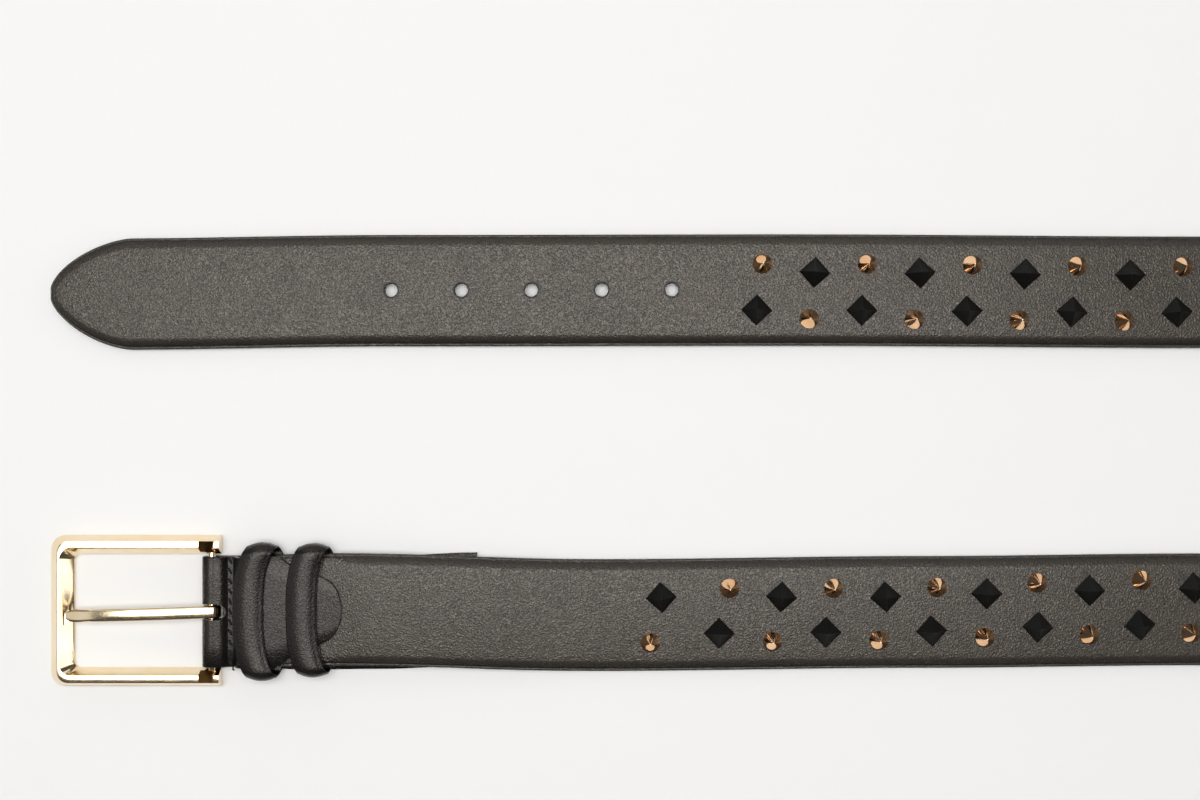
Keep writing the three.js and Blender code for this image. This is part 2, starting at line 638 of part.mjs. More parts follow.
// Prong: a bevelled strip that lies in the frame's seat, arches to the bar and curls round it.
function buckleProng() {
  const eyeRadius = BAR_DIAMETER / 2 + GAP + PRONG_THICKNESS / 2;
  const eyeTop = BAR_HEIGHT + eyeRadius;
  const tipHeight = NOTCH_FLOOR + GAP + PRONG_THICKNESS / 2;
  const shank = SHANK.map(({ at, risen, arch, tilt, half }) => ({
    x: -at * PRONG_REACH,
    z: THREE.MathUtils.lerp(tipHeight, eyeTop, risen) + arch * PRONG_ARCH,
    angle: Math.PI / 2 + tilt,
    half,
    skew: at,
  }));
  const eye = [];
  for (const angle of spaced(Math.PI / 2, EYE_END, -FOLD_STEP)) {
    const x = eyeRadius * Math.cos(angle);
    eye.push({ x, z: BAR_HEIGHT + eyeRadius * Math.sin(angle), angle, half: 1, skew: 0 });
  }
  const rise = PRONG_THICKNESS / 2;
  const sections = [...shank, ...eye].map(({ x, z, angle, half, skew }) => {
    const outer = half * (PRONG_WIDTH / 2);
    const profile = [
      [outer, -rise],
      [outer, rise - PRONG_BEVEL],
      [outer - PRONG_BEVEL, rise],
      [PRONG_BEVEL - outer, rise],
      [-outer, rise - PRONG_BEVEL],
      [-outer, -rise],
    ];
    const side = BUCKLE_RUN_DRIFT[0].side + PRONG_SKEW * skew;
    return profile.map(([across, out]) => {
      return new THREE.Vector3(x + out * Math.cos(angle), side + across, z + out * Math.sin(angle));
    });
  });
  return loft(sections);
}

const leather = { color: 0x1f1c19, roughness: 0.55, metalness: 0 };
const lining = { color: 0x191715, roughness: 0.75, metalness: 0 };
const gold = { color: 0xe8cf97, roughness: 0.15, metalness: 1 };

const belt = new THREE.Group();
for (const [name, geometry, finish] of [
  ["strap_face", strapFace(), leather],
  ["strap_back", strapBack(), lining],
  ["chape", chape(), leather],
  ...KEEPERS.map((loop) => [loop.name, keeper(loop), leather]),
  ["buckle_frame", buckleFrame(), gold],
  ["buckle_bar", buckleBar(), gold],
  ["buckle_prong", buckleProng(), gold],
]) {
  const mesh = new THREE.Mesh(geometry, new THREE.MeshStandardMaterial(finish));
  mesh.name = name;
  belt.add(mesh);
}

const footprint = new THREE.Box3().setFromObject(belt);
const middle = footprint.getCenter(new THREE.Vector3());
belt.position.set(-middle.x, -middle.y, -footprint.min.z);

export default belt;
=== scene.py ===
import math

import bmesh
import bpy
from mathutils import Matrix, Vector


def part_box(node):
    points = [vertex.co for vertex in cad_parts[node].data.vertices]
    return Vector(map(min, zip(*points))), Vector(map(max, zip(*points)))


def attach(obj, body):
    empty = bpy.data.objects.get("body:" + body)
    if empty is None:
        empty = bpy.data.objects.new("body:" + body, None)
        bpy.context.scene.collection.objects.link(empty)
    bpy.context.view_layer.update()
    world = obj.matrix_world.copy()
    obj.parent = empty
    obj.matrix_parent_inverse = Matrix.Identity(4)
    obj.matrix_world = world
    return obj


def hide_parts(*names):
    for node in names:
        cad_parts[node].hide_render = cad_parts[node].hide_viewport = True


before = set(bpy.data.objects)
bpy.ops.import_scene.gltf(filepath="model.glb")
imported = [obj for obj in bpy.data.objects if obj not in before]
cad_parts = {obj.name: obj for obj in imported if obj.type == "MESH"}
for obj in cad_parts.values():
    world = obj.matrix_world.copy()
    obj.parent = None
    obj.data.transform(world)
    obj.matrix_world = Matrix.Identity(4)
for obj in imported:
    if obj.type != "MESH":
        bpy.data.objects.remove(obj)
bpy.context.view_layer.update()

bl_info = {
    "name": "Studded belt",
    "version": (1, 0, 0),
    "blender": (4, 5, 0),
    "location": "3D View > Sidebar > Belt",
    "description": "Dresses the solids of a studded leather belt in leather, thread and plated metal",
    "category": "Object",
}

# Places are worked out in millimetres from the buckle's bar, along the belt, as a belt maker measures.
# The belt lies open on a table. Both ends are face up, and between them the strap rolls onto its edge.
MM = 0.001
BAR_SIDE = -0.4
BAR_HEIGHT = 3.0
ZERO = sum(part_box("buckle_bar"), Vector()) / 2 - Vector((0, BAR_SIDE, BAR_HEIGHT)) * MM

# Strap
STRAP_WIDTH = 35.0
HALF_WIDTH = STRAP_WIDTH / 2
FACE_BASE = 1.5
SEAM_HEIGHT = 1.34
CROWN_THICKNESS = 2.3
SKIVED_THICKNESS = 1.2
ROLL_OFF = 3.6
STRAP_START = 10.5
BUCKLE_RUN = 310.0
TIP_RUN = 361.0
RUN_SPACING = 99.8
TWIST_LENGTH = 115.0
TURN_RADIUS = RUN_SPACING / 2
TURN_START = BUCKLE_RUN + TWIST_LENGTH
TURN_END = TURN_START + math.pi * TURN_RADIUS
TIP_RUN_START = TURN_END + TWIST_LENGTH
STRAP_END = TIP_RUN_START + TIP_RUN
TIP_LENGTH = 25.5
NOSE_WIDTH = 3.2
TIP_FULLNESS = 1.6
TIP_BLUNTNESS = 0.65
STATION_STEP = 2.0
SWELL = 0.25

# Holes and studs
HOLE_COUNT = 5
HOLE_PITCH = 22.0
FIRST_HOLE_FROM_NOSE = 107.2
STUD_PITCH = 16.5
STUDS_FROM_BAR = 144.5
STUDS_FROM_NOSE = 222.7
FIRST_COLUMN_LEAD = 5.0
CONE_ROW_OFFSET = 8.6
PYRAMID_ROW_OFFSET = 5.9
STUD_TURN = 0.07
STUD_STRAY = 0.35

# Chape, the folded leather that holds the buckle
CHAPE_THICKNESS = 1.4
TONGUE_REACH = 41.2
TONGUE_END_THICKNESS = 0.8
FLAP_REACH = 83.0
RAMP_LENGTH = 38.0
STITCH_FROM_BAR = 5.95
STITCH_LEVEL = 4.05
STITCH_COUNT = 11
STITCH_SLANT = 0.42
LOOP_RADIUS = 2.3
STRAP_LIFT = 3.2
SLOT_REACH = 4.7
SLOT_WIDTH = 4.9

# Keepers
KEEPER_WIDTH = 9.3
KEEPER_BACK = 1.7
KEEPER_FRONT = 9.1
KEEPER_CORNER = 2.4
KEEPER_DOME = 0.95
KEEPERS = {"keeper_1": (7.6, 3.45, 8.0), "keeper_2": (24.1, 2.75, 7.0)}

# Buckle
FRAME_REACH = 51.1
FRAME_TAIL = 2.5
FRAME_SHOULDER = 1.2
FRAME_HEIGHT = 5.2
ARM_SLOPES = (1.6, 3.9, 5.8)
CROSSBAR_SLOPES = (3.0, 3.7, 7.3)
OPENING_HALF_WIDTH = 17.95
FRAME_HALF_WIDTH = 23.75
NOTCH_LENGTH = 2.6
NOTCH_WIDTH = 5.8
NOTCH_DEPTH = 2.5
SADDLE = (-3.8, 0.85)
SADDLE_SLOPE = 0.75
SADDLE_LEANS = (0.0, 0.14)
BAR_RADIUS = 1.1
BAR_SEAT = 0.65
PRONG_WIDTH = 3.9
PRONG_THICKNESS = 1.4
PRONG_REACH = 45.4
PRONG_SKEW = -1.3
PRONG_ARCH = 1.0
PRONG_SEAT = FRAME_HEIGHT - NOTCH_DEPTH + 0.3 + PRONG_THICKNESS / 2
EYE_RADIUS = BAR_RADIUS + 0.3 + PRONG_THICKNESS / 2
EYE_END = -1.05 * math.pi
EYE_STEPS = 40

# Middle of the picture on the table
PICTURE_CENTRE = (121.69, 65.9)

# Sideways drift of the two runs and height of the strap near the buckle, by share or by distance
BUCKLE_RUN_DRIFT = [(0, -0.4), (0.13, 0.4), (0.39, -1.8), (0.72, -0.8), (1, 0)]
TIP_RUN_DRIFT = [(0, -0.4), (0.05, -0.6), (0.3, 0.5), (0.65, 0.7), (1, 0)]
LIFT = [(0, STRAP_LIFT), (50.2, STRAP_LIFT), (FLAP_REACH, 1.7), (FLAP_REACH + RAMP_LENGTH, 0)]
PARED = [(0, 1), (31.2, 1), (50.2, 0)]
# How far the studs left and right of the centreline strayed, at shares of the field: along, and to the left
LEFT_ROWS = [
    (0, 1.5, -0.3), (0.1, 0.8, -0.8), (0.17, -1.2, 0.7), (0.24, -1.5, 1.4), (0.5, 0, 0), (0.8, 1.2, 0.2),
    (1, 1.2, 0.3),
]
RIGHT_ROWS = [
    (0, -2.2, 0.4), (0.1, -1.2, 0), (0.17, -0.6, 1), (0.24, -1.9, 1.2), (0.5, 0, 0), (0.8, -1.3, 1.1),
    (1, -1.1, 0.8),
]
# The tongue's outline from its end, at shares of its reach: share of the half width
TONGUE = [
    (1.0, 0.0), (1.0, 0.03), (0.993, 0.16), (0.965, 0.36), (0.91, 0.52), (0.81, 0.64),
    (0.7, 0.735), (0.607, 0.84), (0.51, 1.0), (0.36, 1.0), (0.24, 1.0),
]
# Side view of the chape between its tongue and the bar: it dips to its row of stitches
VALLEY = [
    (9.9, 6.7), (9.2, 6.4), (8.6, 5.7), (8.1, 4.7), (7.6, 3.9), (7.0, 3.6), (6.2, 3.55), (5.4, 3.55), (4.8, 3.75),
    (4.2, 4.25), (3.5, 4.8), (2.6, 5.15), (1.4, 5.28), (0.6, 5.24),
]
FLAP_DRIFT = [(0.1, 0.0), (0.2, -0.4), (0.35, -0.8), (0.65, -0.6), (1, 0.5)]
THREAD_END = [(6.4, -15.6, 4.4), (6.7, -16.9, 4.75), (6.9, -17.9, 4.5), (6.6, -18.5, 3.7), (6.9, -18.9, 2.9)]
THREAD_RADIUS = 0.22
# Prong from its tip, at shares of its reach: rise, arch, tilt and share of the half width
SHANK = [
    (1, 0, 0, 0.25, 0.62), (0.98, 0.08, 0, 0.25, 0.86), (0.94, 0.35, 0, 0.3, 1), (0.85, 0.75, 0.3, 0.2, 1),
    (0.68, 1, 0.6, 0.08, 1), (0.45, 1, 1, 0, 1), (0.2, 1, 0.6, -0.05, 1),
]


def linear(text, alpha=1.0):
    """An sRGB hex colour as linear values."""
    parts = [int(text[i:i + 2], 16) / 255 for i in (1, 3, 5)]
    return (*[c / 12.92 if c <= 0.04045 else ((c + 0.055) / 1.055) ** 2.4 for c in parts], alpha)


def mixed(a, b, share):
    return a + (b - a) * share


def clamped(value, low=0.0, high=1.0):
    return min(high, max(low, value))


def eased(value, low, high):
    share = clamped((value - low) / (high - low))
    return share * share * (3 - 2 * share)


def along_table(rows, at):
    """The value at a place in rows of (place, value), easing from row to row."""
    if at <= rows[0][0]:
        return rows[0][1]
    for (near, first), (far, second) in zip(rows, rows[1:]):
        if at < far:
            return mixed(first, second, eased(at, near, far))
    return rows[-1][1]


def curve_through(rows, steps):
    """Points of a smooth curve through rows of numbers."""
    points = []
    for i in range(len(rows) - 1):
        before, after = rows[max(0, i - 1)], rows[min(len(rows) - 1, i + 2)]
        for k in range(steps):
            t = k / steps
            points.append(tuple(
                0.5 * (2 * b + (c - a) * t + (2 * a - 5 * b + 4 * c - d) * t * t
                       + (3 * b - a - 3 * c + d) * t ** 3)
                for a, b, c, d in zip(before, rows[i], rows[i + 1], after)
            ))
    return [*points, tuple(rows[-1])]


def spread(low, high, step):
    """Evenly spaced values from low to high."""
    count = max(1, round((high - low) / step))
    return [low + (high - low) * i / count for i in range(count + 1)]


def placed(x, y, z):
    """A point in millimetres from the bar as a point of the frame."""
    return ZERO + Vector((x, y, z)) * MM


def plan_at(s):
    """The strap's centreline from above at a distance from the bar, and its leftward direction."""
    if s < TURN_START:
        return s, along_table(BUCKLE_RUN_DRIFT, s / BUCKLE_RUN), (0.0, 1.0)
    if s > TURN_END:
        drift = along_table(TIP_RUN_DRIFT, (STRAP_END - s) / TIP_RUN)
        return TURN_START - (s - TURN_END), RUN_SPACING + drift, (0.0, -1.0)
    angle = (s - TURN_START) / TURN_RADIUS
    left = (-math.sin(angle), math.cos(angle))
    return TURN_START - left[0] * TURN_RADIUS, TURN_RADIUS * (1 - left[1]), left


def strap_point(s, across, height):
    """A point of the strap: distance from the bar, distance to the left, height above the underside."""
    x, y, left = plan_at(s)
    roll = math.pi / 2 * (eased(s, BUCKLE_RUN, TURN_START) - eased(s, TURN_END, TIP_RUN_START))
    rise, run = math.sin(roll), math.cos(roll)
    sideways = across * run - height * rise
    up = HALF_WIDTH * rise + along_table(LIFT, s) + across * rise + height * run
    return placed(x + left[0] * sideways, y + left[1] * sideways, up)


def half_width_at(s):
    from_nose = (STRAP_END - s) / TIP_LENGTH
    if from_nose >= 1:
        return HALF_WIDTH
    swelling = (1 - (1 - max(0.0, from_nose)) ** TIP_FULLNESS) ** TIP_BLUNTNESS
    return mixed(NOSE_WIDTH / 2, HALF_WIDTH, swelling)


def arm_places():
    """Places along the strap as pairs: where the centreline is, and where the edge is. Round the nose the
    centreline's place falls behind, so that each section meets the edge squarely."""
    flat = [(s, s) for s in spread(STRAP_START, STRAP_END - TIP_LENGTH, STATION_STEP)]
    steps = 40
    nose = []
    for i in range(1, steps + 1):
        share = i / steps
        edge = 1 - (1 - share) ** 2
        nose.append((mixed(STRAP_END - TIP_LENGTH, STRAP_END - 12, share), STRAP_END - TIP_LENGTH * (1 - edge)))
    return flat + nose


def strap_section(place, profile):
    """Points round one section of a strap panel. The profile gives insets from the edge and heights."""
    centre, edge = place
    half = half_width_at(edge)
    scale = math.hypot(half, edge - centre) / HALF_WIDTH
    points = []
    for side, inset, height in profile:
        share = 1 - clamped(inset * min(1.0, scale) / (scale * HALF_WIDTH))
        points.append(strap_point(mixed(centre, edge, share), side * half * share, height(centre)))
    return points


def new_object(name, mesh):
    made = bpy.data.objects.new(name, mesh)
    bpy.context.scene.collection.objects.link(made)
    return made


def skin(name, sections, ring=False, zipped=False, rims=None):
    """A closed skin over sections that have the same number of points. A ring's last section meets its
    first. Zipped ends join each half of the section to its mirror half; other ends are one flat face."""
    size = len(sections[0])
    mesh = bmesh.new()
    rim = mesh.verts.layers.float.new("rim")
    verts = []
    for section in sections:
        row = [mesh.verts.new(p) for p in section]
        for k, vert in enumerate(row):
            vert[rim] = rims[k] if rims else 0.0
        verts.append(row)
    count = len(sections)
    for i in range(count if ring else count - 1):
        near, far = verts[i], verts[(i + 1) % count]
        for k in range(size):
            face = mesh.faces.new((near[k], near[(k + 1) % size], far[(k + 1) % size], far[k]))
            face.material_index = 1 if rims and min(rims[k], rims[(k + 1) % size]) > 1 else 0
    if not ring:
        for row, turned in ((verts[0], True), (verts[-1], False)):
            loops = [row]
            if zipped:
                loops = [
                    [row[k], row[k + 1], row[(size - k - 1) % size], row[(size - k) % size]]
                    for k in range(size // 2 + size % 2)
                ]
            for loop in loops:
                corners = list(dict.fromkeys(loop))
                if len(corners) > 2:
                    mesh.faces.new(corners[::-1] if turned else corners)
    bmesh.ops.recalc_face_normals(mesh, faces=mesh.faces)
    if mesh.calc_volume(signed=True) < 0:
        bmesh.ops.reverse_faces(mesh, faces=mesh.faces)
    data = bpy.data.meshes.new(name)
    mesh.to_mesh(data)
    mesh.free()
    return new_object(name, data)


def cut(obj, cutters):
    """Cuts the cutters out of obj and removes them."""
    for cutter in cutters:
        modifier = obj.modifiers.new("cut", "BOOLEAN")
        modifier.operation = "DIFFERENCE"
        modifier.solver = "EXACT"
        modifier.object = cutter
    settle(obj)
    for cutter in cutters:
        bpy.data.meshes.remove(cutter.data)


def settle(obj, sharp=35.0):
    """Turns obj and its modifiers into a plain mesh with smooth curves and edges sharp past an angle."""
    depsgraph = bpy.context.evaluated_depsgraph_get()
    data = bpy.data.meshes.new_from_object(
        obj.evaluated_get(depsgraph), preserve_all_data_layers=True, depsgraph=depsgraph
    )
    old = obj.data
    obj.modifiers.clear()
    obj.data = data
    data.name = obj.name
    bpy.data.meshes.remove(old)
    data.shade_smooth()
    data.set_sharp_from_angle(angle=math.radians(sharp))
    return obj


def drum(name, centre, axis, radius, length, sides=32):
    """A round cutter."""
    mesh = bmesh.new()
    turn = Vector((0, 0, 1)).rotation_difference(Vector(axis)).to_matrix().to_4x4()
    bmesh.ops.create_cone(
        mesh, cap_ends=True, segments=sides, radius1=radius * MM, radius2=radius * MM, depth=length * MM,
        matrix=Matrix.Translation(placed(*centre)) @ turn,
    )
    data = bpy.data.meshes.new(name)
    mesh.to_mesh(data)
    mesh.free()
    return new_object(name, data)


def block(name, low, high):
    """A square-edged cutter between two corners."""
    mesh = bmesh.new()
    low, high = placed(*low), placed(*high)
    size = Matrix.Diagonal((*(high - low), 1))
    bmesh.ops.create_cube(mesh, size=1, matrix=Matrix.Translation((low + high) / 2) @ size)
    data = bpy.data.meshes.new(name)
    mesh.to_mesh(data)
    mesh.free()
    return new_object(name, data)


def finished(obj, body, slot_name, materials, *nodes, sharp=35.0):
    """Gives a piece its materials and its body, and hides the solids that it stands for. The slot name is not used.
    """
    obj.data.materials.clear()
    for made in materials:
        obj.data.materials.append(made)
    settle(obj, sharp)
    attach(obj, body)
    if nodes:
        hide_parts(*nodes)
    return obj


def add(tree, kind, values=None, links=None, **settings):
    """Adds one node with its settings, its socket values and its links."""
    node = tree.nodes.new(kind)
    for key, value in settings.items():
        setattr(node, key, value)
    for socket, value in (values or {}).items():
        node.inputs[socket].default_value = value
    for socket, source in (links or {}).items():
        tree.links.new(source, node.inputs[socket])
    return node


def blank_material(name):
    made = bpy.data.materials.new(name)
    made.use_nodes = True
    made.node_tree.nodes.clear()
    return made, made.node_tree


def leather(name, colour, dark, roughness, grain, depth, coat, sheen):
    """Corrected-grain cowhide, drum dyed and waxed: nearly black, a soft broad sheen, fine even pores."""
    made, tree = blank_material(name)
    where = add(tree, "ShaderNodeTexCoord").outputs["Object"]
    # Pores of 0.3 mm are finer than the render shows, so they are drawn about twice as coarse
    pores = add(tree, "ShaderNodeTexVoronoi", {"Scale": 1 / (grain * MM)}, {"Vector": where},
                feature="SMOOTH_F1").outputs["Distance"]
    speckle = add(tree, "ShaderNodeTexNoise", {"Scale": 1 / (grain * MM), "Detail": 2.0},
                  {"Vector": where}).outputs["Fac"]
    cloud = add(tree, "ShaderNodeTexNoise", {"Scale": 1 / (14 * MM), "Detail": 4.0},
                {"Vector": where}).outputs["Fac"]
    # The rim attribute mixes in the darker colour: painted shade on the face panel's roll-off and crease and on the
    # keepers' edges, and the darker edge colour on the chape's sides and bevels
    rim = add(tree, "ShaderNodeAttribute", attribute_name="rim").outputs["Fac"]
    tone = add(tree, "ShaderNodeMix", {"Factor": 0.08}, {"A": speckle, "B": cloud}, data_type="FLOAT")
    shade = add(tree, "ShaderNodeMapRange", {"From Min": 0.35, "From Max": 0.65, "To Min": 0.3, "To Max": 1.7},
                {"Value": tone.outputs[0]})
    base = add(tree, "ShaderNodeMix", None, {"Factor": rim}, data_type="RGBA")
    base.inputs[6].default_value, base.inputs[7].default_value = linear(colour), linear(dark)
    toned = add(tree, "ShaderNodeVectorMath", None, {0: base.outputs[2], 1: shade.outputs[0]},
                operation="MULTIPLY")
    worn = add(tree, "ShaderNodeMapRange", {"From Min": 0.3, "From Max": 0.7, "To Min": roughness + 0.3,
                                            "To Max": roughness - 0.18}, {"Value": tone.outputs[0]})
    fine = add(tree, "ShaderNodeBump", {"Strength": 1.0, "Distance": depth * MM}, {"Height": pores})
    soft = add(tree, "ShaderNodeBump", {"Strength": 0.35, "Distance": 0.25 * MM},
               {"Height": cloud, "Normal": fine.outputs["Normal"]})
    shader = add(
        tree, "ShaderNodeBsdfPrincipled", {
            "Coat Weight": coat, "Coat Roughness": 0.24, "IOR": 1.5, "Specular IOR Level": sheen,
            "Specular Tint": linear("#FFF6EA"),
        },
        {"Base Color": toned.outputs[0], "Roughness": worn.outputs[0], "Normal": soft.outputs["Normal"]},
    )
    add(tree, "ShaderNodeOutputMaterial", None, {"Surface": shader.outputs[0]})
    return made


def metal(name, colour, dull, roughness, scratch):
    """Plated zinc, die cast and polished: a bright mirror that the plating softens a little."""
    made, tree = blank_material(name)
    where = add(tree, "ShaderNodeTexCoord").outputs["Object"]
    haze = add(tree, "ShaderNodeTexNoise", {"Scale": 1 / (6 * MM), "Detail": 5.0},
               {"Vector": where}).outputs["Fac"]
    rub = add(tree, "ShaderNodeTexNoise", {"Scale": 1 / (0.5 * MM), "Detail": 4.0},
              {"Vector": where}).outputs["Fac"]
    base = add(tree, "ShaderNodeMix", None, {"Factor": haze}, data_type="RGBA")
    base.inputs[6].default_value, base.inputs[7].default_value = linear(colour), linear(dull)
    worn = add(tree, "ShaderNodeMapRange", {"From Min": 0.3, "From Max": 0.7, "To Min": roughness * 0.8,
                                            "To Max": roughness * 1.3}, {"Value": haze})
    bump = add(tree, "ShaderNodeBump", {"Strength": scratch, "Distance": 0.02 * MM}, {"Height": rub})
    shader = add(
        tree, "ShaderNodeBsdfPrincipled", {"Metallic": 1.0},
        {"Base Color": base.outputs[2], "Roughness": worn.outputs[0], "Normal": bump.outputs["Normal"]},
    )
    add(tree, "ShaderNodeOutputMaterial", None, {"Surface": shader.outputs[0]})
    return made


def paint(name, colour, roughness, grain, coat=0.0):
    """Brushed or sprayed paint: one dark colour with a faint unevenness from how it was put on."""
    made, tree = blank_material(name)
    where = add(tree, "ShaderNodeTexCoord").outputs["Object"]
    uneven = add(tree, "ShaderNodeTexNoise", {"Scale": 1 / (grain * MM), "Detail": 3.0}, {"Vector": where})
    shade = add(tree, "ShaderNodeMapRange", {"From Min": 0.3, "From Max": 0.7, "To Min": 0.75, "To Max": 1.3},
                {"Value": uneven.outputs["Fac"]})
    toned = add(tree, "ShaderNodeVectorMath", {0: linear(colour)[:3]}, {1: shade.outputs[0]},
                operation="MULTIPLY")
    bump = add(tree, "ShaderNodeBump", {"Strength": 0.3, "Distance": 0.04 * MM},
               {"Height": uneven.outputs["Fac"]})
    shader = add(
        tree, "ShaderNodeBsdfPrincipled",
        {"Roughness": roughness, "Coat Weight": coat, "Coat Roughness": 0.2, "Specular IOR Level": 0.3},
        {"Base Color": toned.outputs[0], "Normal": bump.outputs["Normal"]},
    )
    add(tree, "ShaderNodeOutputMaterial", None, {"Surface": shader.outputs[0]})
    return made


def with_inputs(name, inputs):
    """A geometry tree with a geometry input and output and the named inputs, and its two end nodes."""
    tree = bpy.data.node_groups.new(name, "GeometryNodeTree")
    tree.interface.new_socket("Geometry", in_out="INPUT", socket_type="NodeSocketGeometry")
    tree.interface.new_socket("Geometry", in_out="OUTPUT", socket_type="NodeSocketGeometry")
    for label, kind in inputs.items():
        tree.interface.new_socket(label, in_out="INPUT", socket_type="NodeSocket" + kind)
    return tree, add(tree, "NodeGroupInput").outputs


def ends_in(tree, instances, finish):
    """Closes a tree with Realize Instances and Set Material."""
    real = add(tree, "GeometryNodeRealizeInstances", None, {"Geometry": instances})
    dressed = add(tree, "GeometryNodeSetMaterial", None, {"Geometry": real.outputs[0], "Material": finish})
    add(tree, "NodeGroupOutput", None, {"Geometry": dressed.outputs[0]})


def run_tree(obj, tree, values):
    """Runs a geometry tree on obj with its inputs set by their identifiers."""
    modifier = obj.modifiers.new(tree.name, "NODES")
    modifier.node_group = tree
    for item in tree.interface.items_tree:
        if item.in_out == "INPUT" and item.name in values:
            modifier[item.identifier] = values[item.name]
    return settle(obj)


def stud_tree():
    """Studs on points: a pointed body on a straight foot, sunk in the leather and turned to face out."""
    tree, given = with_inputs("Studs", {
        "Foot Radius": "Float", "Collar": "Float", "Tip Radius": "Float", "Foot Height": "Float", "Height": "Float",
        "Sink": "Float", "Sides": "Int", "Finish": "Material",
    })
    body_height = add(tree, "ShaderNodeMath", None, {0: given["Height"], 1: given["Foot Height"]},
                      operation="SUBTRACT")
    depth = add(tree, "ShaderNodeMath", None, {0: given["Foot Height"], 1: given["Sink"]}, operation="ADD")
    neck = add(tree, "ShaderNodeMath", None, {0: given["Foot Radius"], 1: given["Collar"]}, operation="SUBTRACT")
    cone = add(tree, "GeometryNodeMeshCone", None, {
        "Vertices": given["Sides"], "Radius Top": given["Tip Radius"], "Radius Bottom": neck.outputs[0],
        "Depth": body_height.outputs[0],
    })
    rise = add(tree, "ShaderNodeCombineXYZ", None, {"Z": given["Foot Height"]})
    body = add(tree, "GeometryNodeTransform", None, {
        "Geometry": cone.outputs["Mesh"], "Translation": rise.outputs[0],
    })
    foot = add(tree, "GeometryNodeMeshCone", None, {
        "Vertices": given["Sides"], "Radius Top": neck.outputs[0], "Radius Bottom": given["Foot Radius"],
        "Depth": depth.outputs[0],
    })
    down = add(tree, "ShaderNodeMath", {1: -1.0}, {0: given["Sink"]}, operation="MULTIPLY")
    fall = add(tree, "ShaderNodeCombineXYZ", None, {"Z": down.outputs[0]})
    base = add(tree, "GeometryNodeTransform", None, {
        "Geometry": foot.outputs["Mesh"], "Translation": fall.outputs[0],
    })
    raised = add(tree, "GeometryNodeJoinGeometry")
    for part in (body, base):
        tree.links.new(part.outputs[0], raised.inputs[0])
    facing = add(tree, "GeometryNodeInputNamedAttribute", {"Name": "facing"}, data_type="FLOAT_VECTOR")
    turn = add(tree, "FunctionNodeEulerToRotation", None, {0: facing.outputs[0]})
    studs = add(tree, "GeometryNodeInstanceOnPoints", None, {
        "Points": given["Geometry"], "Instance": raised.outputs[0], "Rotation": turn.outputs[0],
    })
    ends_in(tree, studs.outputs[0], given["Finish"])
    return tree


def rim_tree():
    """Rings on points: the pressed and painted rim of each punched hole."""
    tree, given = with_inputs("Hole rims", {
        "Ring Radius": "Float", "Rim Radius": "Float", "Finish": "Material",
    })
    ring = add(tree, "GeometryNodeCurvePrimitiveCircle", {"Resolution": 40}, {"Radius": given["Ring Radius"]})
    section = add(tree, "GeometryNodeCurvePrimitiveCircle", {"Resolution": 12}, {"Radius": given["Rim Radius"]})
    rim = add(tree, "GeometryNodeCurveToMesh", None, {
        "Curve": ring.outputs[0], "Profile Curve": section.outputs[0],
    })
    rims = add(tree, "GeometryNodeInstanceOnPoints", None, {
        "Points": given["Geometry"], "Instance": rim.outputs[0],
    })
    ends_in(tree, rims.outputs[0], given["Finish"])
    return tree


def stitch_tree():
    """A row of slanting stitches, each a short bulge of thread that dips in at both ends."""
    tree, given = with_inputs("Stitches", {
        "Count": "Int", "Start": "Vector", "Pitch": "Vector", "Length": "Float", "Thickness": "Float",
        "Slant": "Float", "Seed": "Int", "Finish": "Material",
    })
    row = add(tree, "GeometryNodeMeshLine", None, {
        "Count": given["Count"], "Start Location": given["Start"], "Offset": given["Pitch"],
    })
    ball = add(tree, "GeometryNodeMeshUVSphere", {"Segments": 12, "Rings": 12, "Radius": 0.5})
    size = add(tree, "ShaderNodeCombineXYZ", None, {
        "X": given["Thickness"], "Y": given["Length"], "Z": given["Thickness"],
    })
    bulge = add(tree, "GeometryNodeTransform", None, {"Geometry": ball.outputs[0], "Scale": size.outputs[0]})
    stray = add(tree, "FunctionNodeRandomValue", {"Min": -0.12, "Max": 0.12}, {"Seed": given["Seed"]},
                data_type="FLOAT")
    slant = add(tree, "ShaderNodeMath", None, {0: given["Slant"], 1: stray.outputs["Value"]}, operation="ADD")
    angles = add(tree, "ShaderNodeCombineXYZ", None, {"Z": slant.outputs[0]})
    turn = add(tree, "FunctionNodeEulerToRotation", None, {0: angles.outputs[0]})
    stitches = add(tree, "GeometryNodeInstanceOnPoints", None, {
        "Points": row.outputs[0], "Instance": bulge.outputs[0], "Rotation": turn.outputs[0],
    })
    ends_in(tree, stitches.outputs[0], given["Finish"])
    return tree


def length(label, value, about):
    return bpy.props.FloatProperty(
        name=label, description=about, default=value * MM, subtype="DISTANCE", unit="LENGTH", precision=5
    )


def colour(label, text, about):
    return bpy.props.FloatVectorProperty(
        name=label, description=about, default=linear(text)[:3], subtype="COLOR", size=3, min=0, max=1
    )


class BeltStudSettings(bpy.types.PropertyGroup):
    cone_diameter: length("Cone diameter", 6.4, "Width of a cone stud's foot")
    collar: length("Collar", 0.2, "Width of the sloping collar round a stud's foot")
    cone_height: length("Cone height", 4.0, "Height of a cone stud above the leather")
    pyramid_side: length("Pyramid side", 6.9, "Side of a pyramid stud's square foot")
    pyramid_height: length("Pyramid height", 4.0, "Height of a pyramid stud above the leather")
    foot_height: length("Foot height", 0.4, "Straight part of a stud below its slopes")
    tip_radius: length("Tip radius", 0.1, "Blunting of a stud's point")
    sink: length("Sink", 0.6, "Depth of a stud's foot in the leather")


